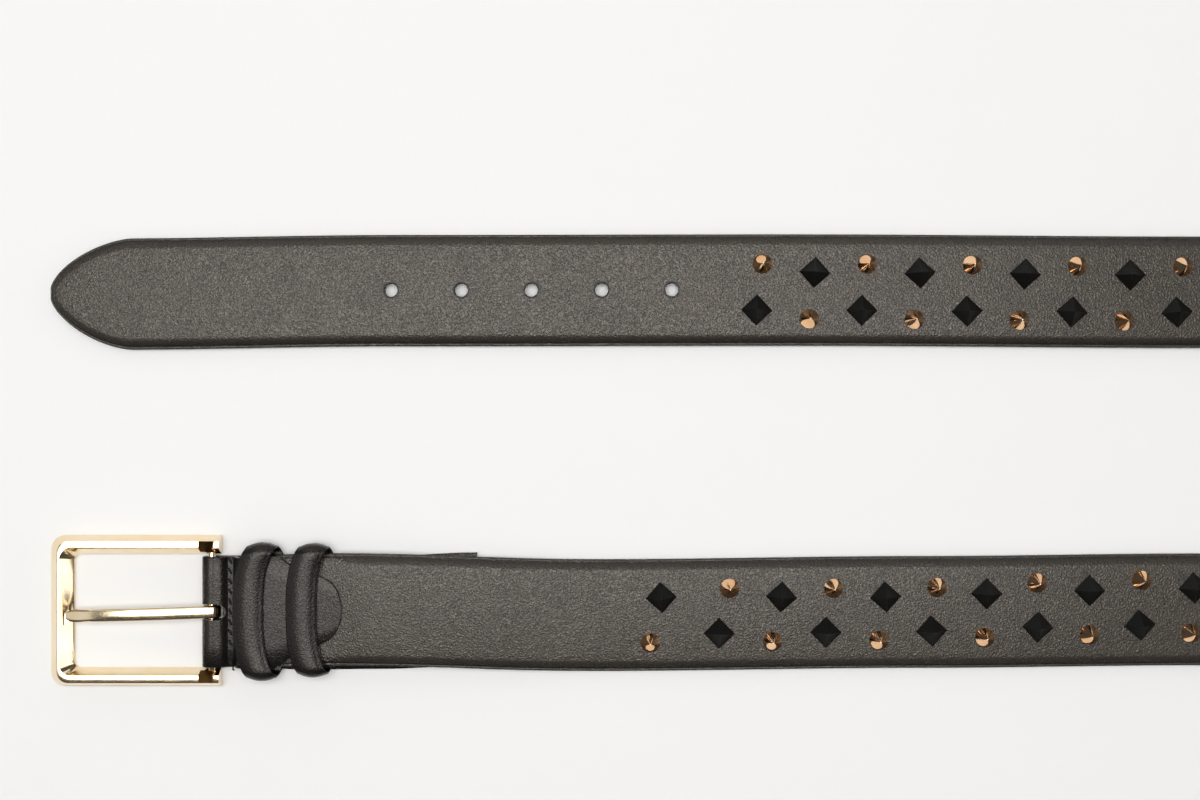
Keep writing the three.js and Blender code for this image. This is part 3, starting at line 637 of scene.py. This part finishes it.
class BeltLeatherSettings(bpy.types.PropertyGroup):
    keeper_thickness: length("Keeper thickness", 1.2, "Thickness of the leather loops")
    hole_diameter: length("Hole diameter", 4.4, "Width of a punched hole")
    rim_thickness: length("Hole rim", 0.7, "Thickness of the pressed rim round a hole")
    stitch_length: length("Stitch length", 2.5, "Length of one stitch across the chape")
    stitch_thickness: length("Thread thickness", 1.0, "Thickness of the sewing thread")
    stitch_pitch: length("Stitch pitch", 3.2, "Distance from one stitch to the next")


class BeltBuckleSettings(bpy.types.PropertyGroup):
    edge_rounding: length("Edge rounding", 0.22, "Rounding of the cast frame's edges")
    prong_width: length("Prong width", PRONG_WIDTH, "Width of the prong")
    prong_bevel: length("Prong bevel", 0.55, "Bevel along the prong's upper edges")


class BeltStageSettings(bpy.types.PropertyGroup):
    camera_height: length("Camera height", 505.0, "Height of the camera above the table")
    light_power: bpy.props.FloatProperty(
        name="Softbox power", description="Power of the softbox overhead", default=15.0, min=0, unit="POWER"
    )
    side_power: bpy.props.FloatProperty(
        name="Side softbox power", description="Power of the softbox at the side", default=9.0, min=0, unit="POWER"
    )
    wall_power: bpy.props.FloatProperty(
        name="Wall light", description="Power of the light wall behind the belt", default=9.0, min=0, unit="POWER"
    )
    ceiling_power: bpy.props.FloatProperty(
        name="Ceiling light", description="Power of the high, even ceiling light", default=2.3, min=0, unit="POWER"
    )
    room_light: bpy.props.FloatProperty(
        name="Room light", description="Strength of the even light from all round", default=0.08, min=0
    )
    table_colour: colour("Table colour", "#F2F1EF", "Colour of the pale table")


FINISHES = {}


def make_finishes():
    """The belt's finishes. The face has a broad waxed sheen and the calf strips a narrower one. The split back
    and the paints hardly shine. The buckle mirrors like plated zinc, and its cut seats are rougher, with painted
    shade and reflection in dark brown."""
    FINISHES.update(
        face=leather("Black waxed cowhide", "#332e28", "#110f0d", 0.38, 0.5, 0.2, 0.12, 0.62),
        strip=leather("Black polished calf", "#191613", "#0b0a09", 0.27, 0.5, 0.1, 0.2, 0.3),
        back=leather("Black split lining", "#262320", "#12100f", 0.72, 0.8, 0.1, 0.0, 0.36),
        edge=paint("Black acrylic edge paint", "#1c1917", 0.38, 1.2, 0.3),
        gold=metal("Pale gold plated zinc", "#FAEAD0", "#F0D6A8", 0.12, 0.15),
        # Painted shade and reflection of the dark leather: the saddle floors' dark brown stands in for them on the
        # rougher gold
        recess=metal("Gold plating with painted shade and reflection", "#6E5230", "#4E3518", 0.42, 0.4),
        cone=metal("Rose gold plated brass", "#FFE0BC", "#D9985A", 0.06, 0.1),
        pyramid=paint("Matt black sprayed brass", "#090807", 0.42, 0.8),
        thread=paint("Black bonded nylon thread", "#12100f", 0.6, 0.3),
    )


class BeltFinishes(bpy.types.Operator):
    """Make the leathers, platings, paints and thread"""

    bl_idname = "studded_belt.finishes"
    bl_label = "Finishes"

    def execute(self, context):
        make_finishes()
        return {"FINISHED"}


def face_profile():
    """The padded face panel: a painted wall, a thin lit lip, a crease, and a roll-off up to the crown.
    Rows of side, inset and height. The rim value paints shade in the darker colour: full in the crease and where
    the roll-off starts, fading to none at the crown, and lighter on the lip. It is over 1 on the wall, which takes
    the edge paint."""
    wall = [(0.1, 0.0, 2.0), (0.02, 0.25, 2.0), (0.0, 0.5, 2.0), (0.06, 0.78, 2.0), (0.2, 0.92, 1.0)]
    lip = [(0.4, 0.98, 0.3), (0.62, 0.99, 0.4), (0.8, 0.92, 1.0)]
    shares = (0.0, 0.08, 0.17, 0.27, 0.38, 0.5, 0.62, 0.74, 0.86, 1.0)
    crown = [
        (mixed(0.95, ROLL_OFF, t), mixed(0.96, CROWN_THICKNESS, 1 - (1 - t) ** 1.6), 1 - t) for t in shares
    ]
    centre = HALF_WIDTH - ROLL_OFF
    inner = [
        (inset, CROWN_THICKNESS + SWELL * (1 - ((HALF_WIDTH - inset) / centre) ** 2), 0.0)
        for inset in spread(ROLL_OFF, HALF_WIDTH, 2.0)[1:]
    ]
    return [*wall, *lip, *crown, *inner]


def full_profile(rising, base):
    """A profile round the whole section, from its underside's middle out and over, mirror ordered."""
    def height_of(value):
        return lambda s: base + mixed(value, min(value, SKIVED_THICKNESS), along_table(PARED, s))

    right = [(-1, inset, height_of(height)) for inset, height, _ in rising[:-1]]
    middle = [(1, rising[-1][0], height_of(rising[-1][1]))]
    left = [(1, inset, height_of(height)) for inset, height, _ in reversed(rising[:-1])]
    rims = [rim for _, _, rim in rising]
    return [*right, *middle, *left], [*rims, *reversed(rims[:-1])]


def hole_cutters(radius):
    made = []
    for i in range(HOLE_COUNT):
        x, y, _ = plan_at(STRAP_END - FIRST_HOLE_FROM_NOSE - i * HOLE_PITCH)
        made.append(drum(f"punch_{i}", (x, y, 0), (0, 0, 1), radius, 20, 40))
    return made


class BeltStrap(bpy.types.Operator):
    """Make the strap: padded face leather, lining, painted edges and pressed hole rims"""

    bl_idname = "studded_belt.strap"
    bl_label = "Strap"

    def execute(self, context):
        sizes = context.scene.belt_leather
        radius = sizes.hole_diameter / MM / 2
        profile, rims = full_profile(face_profile(), SEAM_HEIGHT)
        under = [(side, inset, lambda s: SEAM_HEIGHT) for side, inset in (
            (1, HALF_WIDTH), (-1, HALF_WIDTH / 2), (1, HALF_WIDTH / 2),
        )]
        around = [*under[:2], *profile, under[2]]
        places = arm_places()
        face = skin(
            "strap_face_leather", [strap_section(place, around) for place in places], zipped=True,
            rims=[2, 2, *rims, 2],
        )
        cut(face, hole_cutters(radius))
        finished(face, "strap", "face_leather", [FINISHES["face"], FINISHES["edge"]], "strap_face")

        wall = [(0.25, 0.0), (0.08, 0.12), (0.0, 0.35), (0.0, 0.9), (0.05, 1.25), (0.1, SEAM_HEIGHT - 0.01)]
        right = [(-1, inset, lambda s, h=h: h) for inset, h in wall]
        left = [(1, inset, lambda s, h=h: h) for inset, h in reversed(wall)]
        under = [(side, inset, lambda s: 0.0) for side, inset in ((1, HALF_WIDTH), (-1, 3), (1, 3))]
        around = [*under[:2], *right, *left, under[2]]
        lining = skin(
            "strap_lining", [strap_section(place, around) for place in places], zipped=True,
            rims=[0, 0, *[2] * len([*right, *left]), 0],
        )
        cut(lining, hole_cutters(radius))
        finished(lining, "strap", "back_leather", [FINISHES["back"], FINISHES["edge"]], "strap_back")

        thickness = sizes.rim_thickness / 2
        points = bpy.data.meshes.new("hole_rims")
        spots = []
        for i in range(HOLE_COUNT):
            s = STRAP_END - FIRST_HOLE_FROM_NOSE - i * HOLE_PITCH
            spots.append(strap_point(s, 0, face_level(0)) - Vector((0, 0, thickness * 0.8)))
        points.from_pydata(spots, [], [])
        rims_made = run_tree(new_object("hole_rims", points), rim_tree(), {
            "Ring Radius": sizes.hole_diameter / 2 + thickness * 0.6, "Rim Radius": thickness,
            "Finish": FINISHES["edge"],
        })
        finished(rims_made, "strap", "face_leather", [FINISHES["edge"]])
        return {"FINISHED"}


def chape_sections():
    """Sections of the chape from its tongue's end, round the bar, to its flap's end."""
    half = HALF_WIDTH - 0.2
    rows = []
    for at, share in curve_through(TONGUE, 6):
        x = at * TONGUE_REACH
        thinned = max(0.0, 2 * at - 1)
        thickness = mixed(CHAPE_THICKNESS, TONGUE_END_THICKNESS, thinned)
        skived = mixed(CROWN_THICKNESS, SKIVED_THICKNESS, along_table(PARED, x))
        under = FACE_BASE + skived + along_table(LIFT, x) + 0.1
        rows.append((x, under + thickness / 2, math.pi / 2, thickness, max(0.35, half * share), plan_at(x)[1]))
    valley = curve_through(VALLEY, 4)
    for before, (x, z), after in zip(valley, valley[1:], valley[2:]):
        angle = math.atan2(after[1] - before[1], after[0] - before[0]) - math.pi / 2
        rows.append((x, z, angle, CHAPE_THICKNESS, half, BAR_SIDE))
    for angle in spread(1.4, 1.5 * math.pi, 0.12):
        x = LOOP_RADIUS * math.cos(angle)
        rows.append((x, BAR_HEIGHT + LOOP_RADIUS * math.sin(angle), angle, CHAPE_THICKNESS, half, BAR_SIDE))
    for share in spread(0.05, 1, 0.05):
        side = BAR_SIDE + along_table(FLAP_DRIFT, share)
        width = half + 0.5 * clamped((share - 0.1) / 0.1)
        rows.append((share * FLAP_REACH, CHAPE_THICKNESS / 2, 1.5 * math.pi, CHAPE_THICKNESS, width, side))
    sections = []
    for x, z, angle, thickness, reach, side in rows:
        out = Vector((math.cos(angle), 0, math.sin(angle)))
        bevel = min(0.3, reach / 2)
        profile = [
            (reach, -0.2), (reach, 0.2), (reach - bevel / 3, 0.42), (reach - bevel, 0.5),
            *[(reach * t, 0.5) for t in (0.6, 0.2, -0.2, -0.6)],
            (bevel - reach, 0.5), (bevel / 3 - reach, 0.42), (-reach, 0.2), (-reach, -0.2),
            (bevel / 3 - reach, -0.42), (bevel - reach, -0.5),
            *[(-reach * t, -0.5) for t in (0.6, 0.2, -0.2, -0.6)],
            (reach - bevel, -0.5), (reach - bevel / 3, -0.42),
        ]
        middle = Vector((x, side, z))
        sections.append([
            placed(*(middle + out * (rise * thickness) + Vector((0, across, 0)))) for across, rise in profile
        ])
    rims = [1.0] * 4 + [0.0] * 4 + [1.0] * 6 + [0.0] * 4 + [1.0] * 2
    return sections, rims


class BeltChape(bpy.types.Operator):
    """Make the chape: its tongue, its fold round the bar with the prong's slot, and its flap"""

    bl_idname = "studded_belt.chape"
    bl_label = "Chape"

    def execute(self, context):
        sections, rims = chape_sections()
        chape = skin("chape_leather", sections, rims=rims)
        radius = SLOT_WIDTH / 2
        reach = SLOT_REACH - radius
        start, near, far = -2 * BAR_HEIGHT, BAR_SIDE - radius, BAR_SIDE + radius
        cutters = [
            block("slot_below", (start, near, -BAR_HEIGHT), (reach + 0.8, far, BAR_HEIGHT)),
            block("slot_above", (start, near, BAR_HEIGHT - 0.5), (reach, far, 3 * BAR_HEIGHT)),
            drum("slot_end", (reach, BAR_SIDE, 2 * BAR_HEIGHT), (0, 0, 1), radius, 2 * BAR_HEIGHT + 0.2),
        ]
        cut(chape, cutters)
        finished(chape, "strap", "face_leather", [FINISHES["strip"]], "chape")
        return {"FINISHED"}


def keeper_sections(start, slack, lean, thickness):
    half_thickness = thickness / 2
    bottom, top = KEEPER_BACK + half_thickness, KEEPER_FRONT - half_thickness
    half_span = HALF_WIDTH + slack - half_thickness
    corner = min(KEEPER_CORNER, 0.48 * (top - bottom))
    side = plan_at(start + (KEEPER_WIDTH + lean) / 2)[1]
    middle = (bottom + top) / 2
    path = []
    corners = [(1, top, 0), (-1, top, 90), (-1, bottom, 180), (1, bottom, 270)]
    for side_sign, level, first in corners:
        y = side_sign * (half_span - corner)
        z = level - corner if level == top else level + corner
        for k in range(11):
            angle = math.radians(first + 9 * k)
            out = Vector((0, math.cos(angle), math.sin(angle)))
            path.append((Vector((0, y, z)) + out * corner, out))
        if first in (0, 180):
            out = Vector((0, 0, 1 if first == 0 else -1))
            for k in range(1, 24):
                path.append((Vector((0, mixed(y, -y, k / 24), z + out.z * corner)), out))
    width = KEEPER_WIDTH
    crest = [
        (mixed(0.6, width - 0.6, t), 0.5 + KEEPER_DOME / half_thickness * (1 - (2 * t - 1) ** 2))
        for t in spread(0, 1, 0.1)
    ]
    profile = [
        (0.0, -0.5), (0.0, 0.0), (0.1, 0.22), (0.35, 0.42), *crest, (width - 0.35, 0.42), (width - 0.1, 0.22),
        (width, 0.0), (width, -0.5), (width - 0.25, -0.85), (width - 0.6, -1.0), (0.6, -1.0), (0.25, -0.85),
    ]
    sections = []
    for place, out in path:
        roundness = abs(place.y) / half_span
        turn = roundness ** 3 / 2 if place.z > middle else 1 - roundness ** 3 / 2
        sections.append([
            placed(*(place + out * (rise * half_thickness) + Vector((start + lean * turn + along, side, 0))))
            for along, rise in profile
        ])
    # The rim values paint shade on the keeper: none at the middle of its crest, growing to the full darker colour
    # at the crest's edges, and full on its sides, bevels and underside
    return sections, [1.0] * 4 + [abs(2 * t - 1) ** 2 for t in spread(0, 1, 0.1)] + [1.0] * 8


class BeltKeepers(bpy.types.Operator):
    """Make the two leather keepers"""

    bl_idname = "studded_belt.keepers"
    bl_label = "Keepers"

    def execute(self, context):
        thickness = context.scene.belt_leather.keeper_thickness / MM
        for node, (start, slack, lean) in KEEPERS.items():
            sections, rims = keeper_sections(start, slack, lean, thickness)
            loop = skin(node + "_leather", sections, ring=True, rims=rims)
            finished(loop, "strap", "face_leather", [FINISHES["strip"]], node)
        return {"FINISHED"}


def frame_outline(arm, crossbar, corner, height):
    half = FRAME_HALF_WIDTH - arm
    end = -FRAME_REACH + crossbar
    points = [placed(FRAME_TAIL, half + BAR_SIDE, height)]
    steps = 14
    for side in (1, -1):
        for k in range(steps + 1):
            angle = math.pi / 2 * ((1 if side > 0 else 2) + k / steps)
            points.append(placed(
                end + corner + corner * math.cos(angle),
                side * (half - corner) + corner * math.sin(angle) + BAR_SIDE,
                height,
            ))
    points.append(placed(FRAME_TAIL, -half + BAR_SIDE, height))
    return points


class BeltBuckle(bpy.types.Operator):
    """Make the buckle: its faceted frame with the prong's notch and the bar's saddles, its bar and its prong"""

    bl_idname = "studded_belt.buckle"
    bl_label = "Buckle"

    def execute(self, context):
        sizes = context.scene.belt_buckle
        outlines = [
            frame_outline(0, 0, 4.5, 0),
            frame_outline(0, 0, 4.5, FRAME_SHOULDER),
            frame_outline(ARM_SLOPES[0], CROSSBAR_SLOPES[0], 3.6, FRAME_HEIGHT),
            frame_outline(ARM_SLOPES[1], CROSSBAR_SLOPES[1], 3.6, FRAME_HEIGHT),
            frame_outline(ARM_SLOPES[2], CROSSBAR_SLOPES[2], 2.2, FRAME_SHOULDER),
            frame_outline(ARM_SLOPES[2], CROSSBAR_SLOPES[2], 2.2, 0),
        ]
        rim = skin("buckle_frame_gold", [list(row) for row in zip(*outlines)])
        inner = CROSSBAR_SLOPES[2] - FRAME_REACH
        wide = NOTCH_WIDTH / 2
        notch_side = PRONG_SKEW + BAR_SIDE
        cutters = [block(
            "notch", (inner - NOTCH_LENGTH, notch_side - wide, FRAME_HEIGHT - NOTCH_DEPTH),
            (inner + NOTCH_LENGTH, notch_side + wide, FRAME_HEIGHT + NOTCH_DEPTH),
        )]
        for side in (1, -1):
            inner_y, outer_y = OPENING_HALF_WIDTH - 1, FRAME_HALF_WIDTH - ARM_SLOPES[0]
            brink = FRAME_HEIGHT - 0.05
            saddle = [
                (outer_y + 1, FRAME_HEIGHT + 1), (outer_y, brink),
                (inner_y, brink - (outer_y - inner_y) * SADDLE_SLOPE), (inner_y, FRAME_HEIGHT + 1),
            ]
            cutters.append(skin(f"saddle_{side}", [
                [placed(x - lean * (outer_y - y), side * y + BAR_SIDE, z) for y, z in saddle]
                for x, lean in zip(SADDLE, SADDLE_LEANS)
            ]))
        cut(rim, cutters)
        soften(rim, sizes.edge_rounding)
        # The saddle floors take the dark brown finish, which paints in shade and the reflection of the leather
        floor_rise = math.cos(math.atan(SADDLE_SLOPE))
        recess = [
            face.index for face in rim.data.polygons
            if abs(face.normal.z - floor_rise) < 0.03 and face.center.x > placed(SADDLE[0], 0, 0).x
        ]
        finished(rim, "buckle", "gold_metal", [FINISHES["gold"], FINISHES["recess"]], "buckle_frame", sharp=50)
        for index in recess:
            rim.data.polygons[index].material_index = 1

        ends = OPENING_HALF_WIDTH + BAR_SEAT
        bar = drum("buckle_bar_gold", (0, BAR_SIDE, BAR_HEIGHT), (0, 1, 0), BAR_RADIUS, 2 * ends, 40)
        soften(bar, 0.15 * MM)
        finished(bar, "buckle", "gold_metal", [FINISHES["gold"]], "buckle_bar", sharp=50)

        prong = skin("buckle_prong_gold", prong_sections(sizes.prong_width / MM, sizes.prong_bevel / MM))
        finished(prong, "prong", "gold_metal", [FINISHES["gold"]], "buckle_prong", sharp=40)
        return {"FINISHED"}


def soften(obj, width):
    """Rounds the crisp edges of a cast piece."""
    modifier = obj.modifiers.new("round", "BEVEL")
    modifier.width = width
    modifier.segments = 3
    modifier.limit_method = "ANGLE"
    modifier.angle_limit = math.radians(24)
    modifier.harden_normals = False
    settle(obj, 50)


def prong_sections(width, bevel):
    """Sections of the prong: a bevelled strip from its tip, over its arch, round the bar."""
    top = BAR_HEIGHT + EYE_RADIUS
    rows = []
    for at, risen, arch, tilt, half in curve_through(SHANK, 6):
        z = mixed(PRONG_SEAT, top, risen) + arch * PRONG_ARCH
        rows.append((-at * PRONG_REACH, z, math.pi / 2 + tilt, half, at))
    for k in range(EYE_STEPS + 1):
        angle = mixed(math.pi / 2, EYE_END, k / EYE_STEPS)
        rows.append((EYE_RADIUS * math.cos(angle), BAR_HEIGHT + EYE_RADIUS * math.sin(angle), angle, 1, 0))
    rise = PRONG_THICKNESS / 2
    sections = []
    for x, z, angle, half, skew in rows:
        outer = half * width / 2
        profile = [
            (outer - 0.2, -rise), (outer, 0.2 - rise), (outer, rise - bevel), (outer - 0.12, rise - bevel + 0.2),
            (outer - bevel + 0.1, rise - 0.05), (outer - bevel - 0.15, rise),
        ]
        profile += [(-across, out) for across, out in reversed(profile)]
        side = BAR_SIDE + PRONG_SKEW * skew
        sections.append([
            placed(x + out * math.cos(angle), side + across, z + out * math.sin(angle)) for across, out in profile
        ])
    return sections


def face_level(across):
    """Height of the face's crown above the strap's underside, away from the roll-off."""
    return SEAM_HEIGHT + CROWN_THICKNESS + SWELL * (1 - (across / (HALF_WIDTH - ROLL_OFF)) ** 2)


def strayed(s, across, share):
    """Place of a stud that belongs at s and across, moved with its row of the field."""
    rows = LEFT_ROWS if across > 0 else RIGHT_ROWS
    return (
        s + along_table([(at, along) for at, along, _ in rows], share),
        across + along_table([(at, side) for at, _, side in rows], share),
    )


def stud_places():
    """Every stud's place and turn, cones and pyramids apart. They take turns from column to column."""
    field = STRAP_END - STUDS_FROM_NOSE - STUDS_FROM_BAR
    steps = 2 * round(field / STUD_PITCH / 2)
    cones, pyramids = [], []
    for column in range(steps + 1):
        s = STUDS_FROM_BAR + field * column / steps - (0 if column else FIRST_COLUMN_LEAD)
        side = -1 if column % 2 else 1
        turn = STUD_TURN * math.sin(5 * column + 1)
        stray = STUD_STRAY * math.cos(3 * column + 2)
        pyramids.append((*strayed(s + stray, side * PYRAMID_ROW_OFFSET - stray, column / steps), turn))
        cones.append((*strayed(s - stray, stray - side * CONE_ROW_OFFSET, column / steps), turn))
    return cones, pyramids


def stud_points(name, places):
    """A mesh of points on the strap's face, each with the way that its stud faces."""
    points, turns = [], []
    for s, across, turn in places:
        points.append(strap_point(s, across, face_level(across)))
        along = strap_point(s + 0.5, across, 0) - strap_point(s - 0.5, across, 0)
        left = strap_point(s, across + 0.5, 0) - strap_point(s, across - 0.5, 0)
        up = along.cross(left).normalized()
        along.normalize()
        basis = Matrix((along, up.cross(along), up)).transposed()
        turns.extend((basis @ Matrix.Rotation(turn, 3, "Z")).to_euler())
    data = bpy.data.meshes.new(name)
    data.from_pydata(points, [], [])
    data.attributes.new("facing", "FLOAT_VECTOR", "POINT").data.foreach_set("vector", turns)
    return new_object(name, data)


class BeltStuds(bpy.types.Operator):
    """Make the rose gold cones and the black pyramids"""

    bl_idname = "studded_belt.studs"
    bl_label = "Studs"

    def execute(self, context):
        sizes = context.scene.belt_studs
        tree = stud_tree()
        cones, pyramids = stud_places()
        shared = {"Foot Height": sizes.foot_height, "Tip Radius": sizes.tip_radius, "Sink": sizes.sink}
        made = run_tree(stud_points("cone_studs", cones), tree, {
            **shared, "Collar": sizes.collar, "Foot Radius": sizes.cone_diameter / 2,
            "Height": sizes.cone_height, "Sides": 36, "Finish": FINISHES["cone"],
        })
        finished(made, "strap", "cone_metal", [FINISHES["cone"]], sharp=30)
        made = run_tree(stud_points("pyramid_studs", pyramids), tree, {
            **shared, "Foot Radius": sizes.pyramid_side / math.sqrt(2), "Height": sizes.pyramid_height,
            "Sides": 4, "Finish": FINISHES["pyramid"],
        })
        finished(made, "strap", "pyramid_metal", [FINISHES["pyramid"]], sharp=20)
        return {"FINISHED"}


class BeltStitches(bpy.types.Operator):
    """Sew the chape: a row of slanting stitches beside the buckle, and the thread's loose end"""

    bl_idname = "studded_belt.stitches"
    bl_label = "Stitches"

    def execute(self, context):
        sizes = context.scene.belt_leather
        first = BAR_SIDE - sizes.stitch_pitch / MM * (STITCH_COUNT - 1) / 2
        row = run_tree(new_object("chape_stitches", bpy.data.meshes.new("chape_stitches")), stitch_tree(), {
            "Count": STITCH_COUNT, "Start": placed(STITCH_FROM_BAR, first, STITCH_LEVEL),
            "Pitch": (0, sizes.stitch_pitch, 0), "Length": sizes.stitch_length,
            "Thickness": sizes.stitch_thickness, "Slant": STITCH_SLANT, "Seed": 3,
            "Finish": FINISHES["thread"],
        })
        finished(row, "strap", "thread", [FINISHES["thread"]], sharp=80)
        sections = []
        line = curve_through(THREAD_END, 5)
        for i, place in enumerate(line):
            ahead = Vector(line[min(i + 1, len(line) - 1)]) - Vector(line[max(i - 1, 0)])
            frame_turn = ahead.to_track_quat("Z", "X")
            sections.append([
                placed(*(Vector(place) + frame_turn @ Vector((math.cos(a), math.sin(a), 0)) * THREAD_RADIUS))
                for a in (2 * math.pi * k / 8 for k in range(8))
            ])
        end = skin("thread_end", sections)
        finished(end, "strap", "thread", [FINISHES["thread"]], sharp=80)
        return {"FINISHED"}


class BeltStage(bpy.types.Operator):
    """Set the pale table, the soft light and the camera straight above"""

    bl_idname = "studded_belt.stage"
    bl_label = "Table, light and camera"

    def execute(self, context):
        settings = context.scene.belt_stage
        data = bpy.data.meshes.new("table")
        reach = 3.0
        corners = [(-reach, -reach, 0), (reach, -reach, 0), (reach, reach, 0), (-reach, reach, 0)]
        data.from_pydata(corners, [], [(0, 1, 2, 3)])
        table = new_object("table", data)
        made, tree = blank_material("Pale matt card")
        shader = add(tree, "ShaderNodeBsdfPrincipled", {
            "Base Color": (*settings.table_colour, 1), "Roughness": 0.9, "Specular IOR Level": 0.1,
        })
        add(tree, "ShaderNodeOutputMaterial", None, {"Surface": shader.outputs[0]})
        data.materials.append(made)

        lamps = (
            ("softbox_above", (-0.19, 0.12, 1.3), (0, 0), (1.2, 0.8), settings.light_power, True),
            ("softbox_aside", (2.2, 0.1, 0.75), (0, 90), (1.1, 1.6), settings.side_power, True),
            ("wall_behind", (-0.1, 1.7, 1.0), (-90, 0), (2.4, 1.4), settings.wall_power, True),
            ("wall_left", (-1.7, 0.1, 1.4), (0, -60), (1.4, 1.6), settings.wall_power / 2, True),
            ("ceiling", (-0.09, 0.0, 2.2), (0, 0), (3.0, 3.0), settings.ceiling_power, False),
            ("reflector_front", (-0.09, -1.4, 1.1), (52, 0), (2.0, 1.0), settings.ceiling_power, False),
        )
        for name, place, (tip, turn), size, power, mirrored in lamps:
            lamp = bpy.data.lights.new(name, "AREA")
            lamp.shape = "RECTANGLE"
            lamp.size, lamp.size_y = size
            lamp.energy = power
            softbox = bpy.data.objects.new(name, lamp)
            softbox.location = place
            softbox.rotation_euler = (math.radians(tip), math.radians(turn), 0)
            softbox.visible_camera = False
            softbox.visible_glossy = mirrored
            context.scene.collection.objects.link(softbox)

        world = bpy.data.worlds.new("room")
        world.use_nodes = True
        world.node_tree.nodes.clear()
        sky = add(world.node_tree, "ShaderNodeBackground", {
            "Color": linear("#F4F6FA"), "Strength": settings.room_light,
        })
        add(world.node_tree, "ShaderNodeOutputWorld", None, {"Surface": sky.outputs[0]})
        context.scene.world = world
        context.scene.view_settings.view_transform = "Standard"

        camera = bpy.data.cameras.new("camera")
        camera.lens, camera.sensor_width = 48.0, 36.0
        camera.clip_start, camera.clip_end = 0.01, 20.0
        above = bpy.data.objects.new("camera", camera)
        above.location = placed(*PICTURE_CENTRE, settings.camera_height / MM)
        context.scene.collection.objects.link(above)
        context.scene.camera = above
        return {"FINISHED"}


OPERATORS = (
    BeltFinishes, BeltStrap, BeltChape, BeltKeepers, BeltBuckle, BeltStuds, BeltStitches, BeltStage,
)
GROUPS = {
    "belt_leather": BeltLeatherSettings,
    "belt_buckle": BeltBuckleSettings,
    "belt_studs": BeltStudSettings,
    "belt_stage": BeltStageSettings,
}


class BeltPanel(bpy.types.Panel):
    """Lists the belt's settings and the steps that make it"""

    bl_idname = "VIEW3D_PT_studded_belt"
    bl_label = "Studded belt"
    bl_space_type = "VIEW_3D"
    bl_region_type = "UI"
    bl_category = "Belt"

    def draw(self, context):
        for name, group in GROUPS.items():
            box = self.layout.box()
            for key in group.__annotations__:
                box.prop(getattr(context.scene, name), key)
        for operator in OPERATORS:
            self.layout.operator(operator.bl_idname)


def register():
    for cls in (*GROUPS.values(), *OPERATORS, BeltPanel):
        bpy.utils.register_class(cls)
    for name, group in GROUPS.items():
        setattr(bpy.types.Scene, name, bpy.props.PointerProperty(type=group))


def unregister():
    for name in GROUPS:
        delattr(bpy.types.Scene, name)
    for cls in (BeltPanel, *reversed(OPERATORS), *reversed(GROUPS.values())):
        bpy.utils.unregister_class(cls)


def main():
    register()
    for operator in OPERATORS:
        area, name = operator.bl_idname.split(".")
        getattr(getattr(bpy.ops, area), name)()


if __name__ == "__main__":
    main()
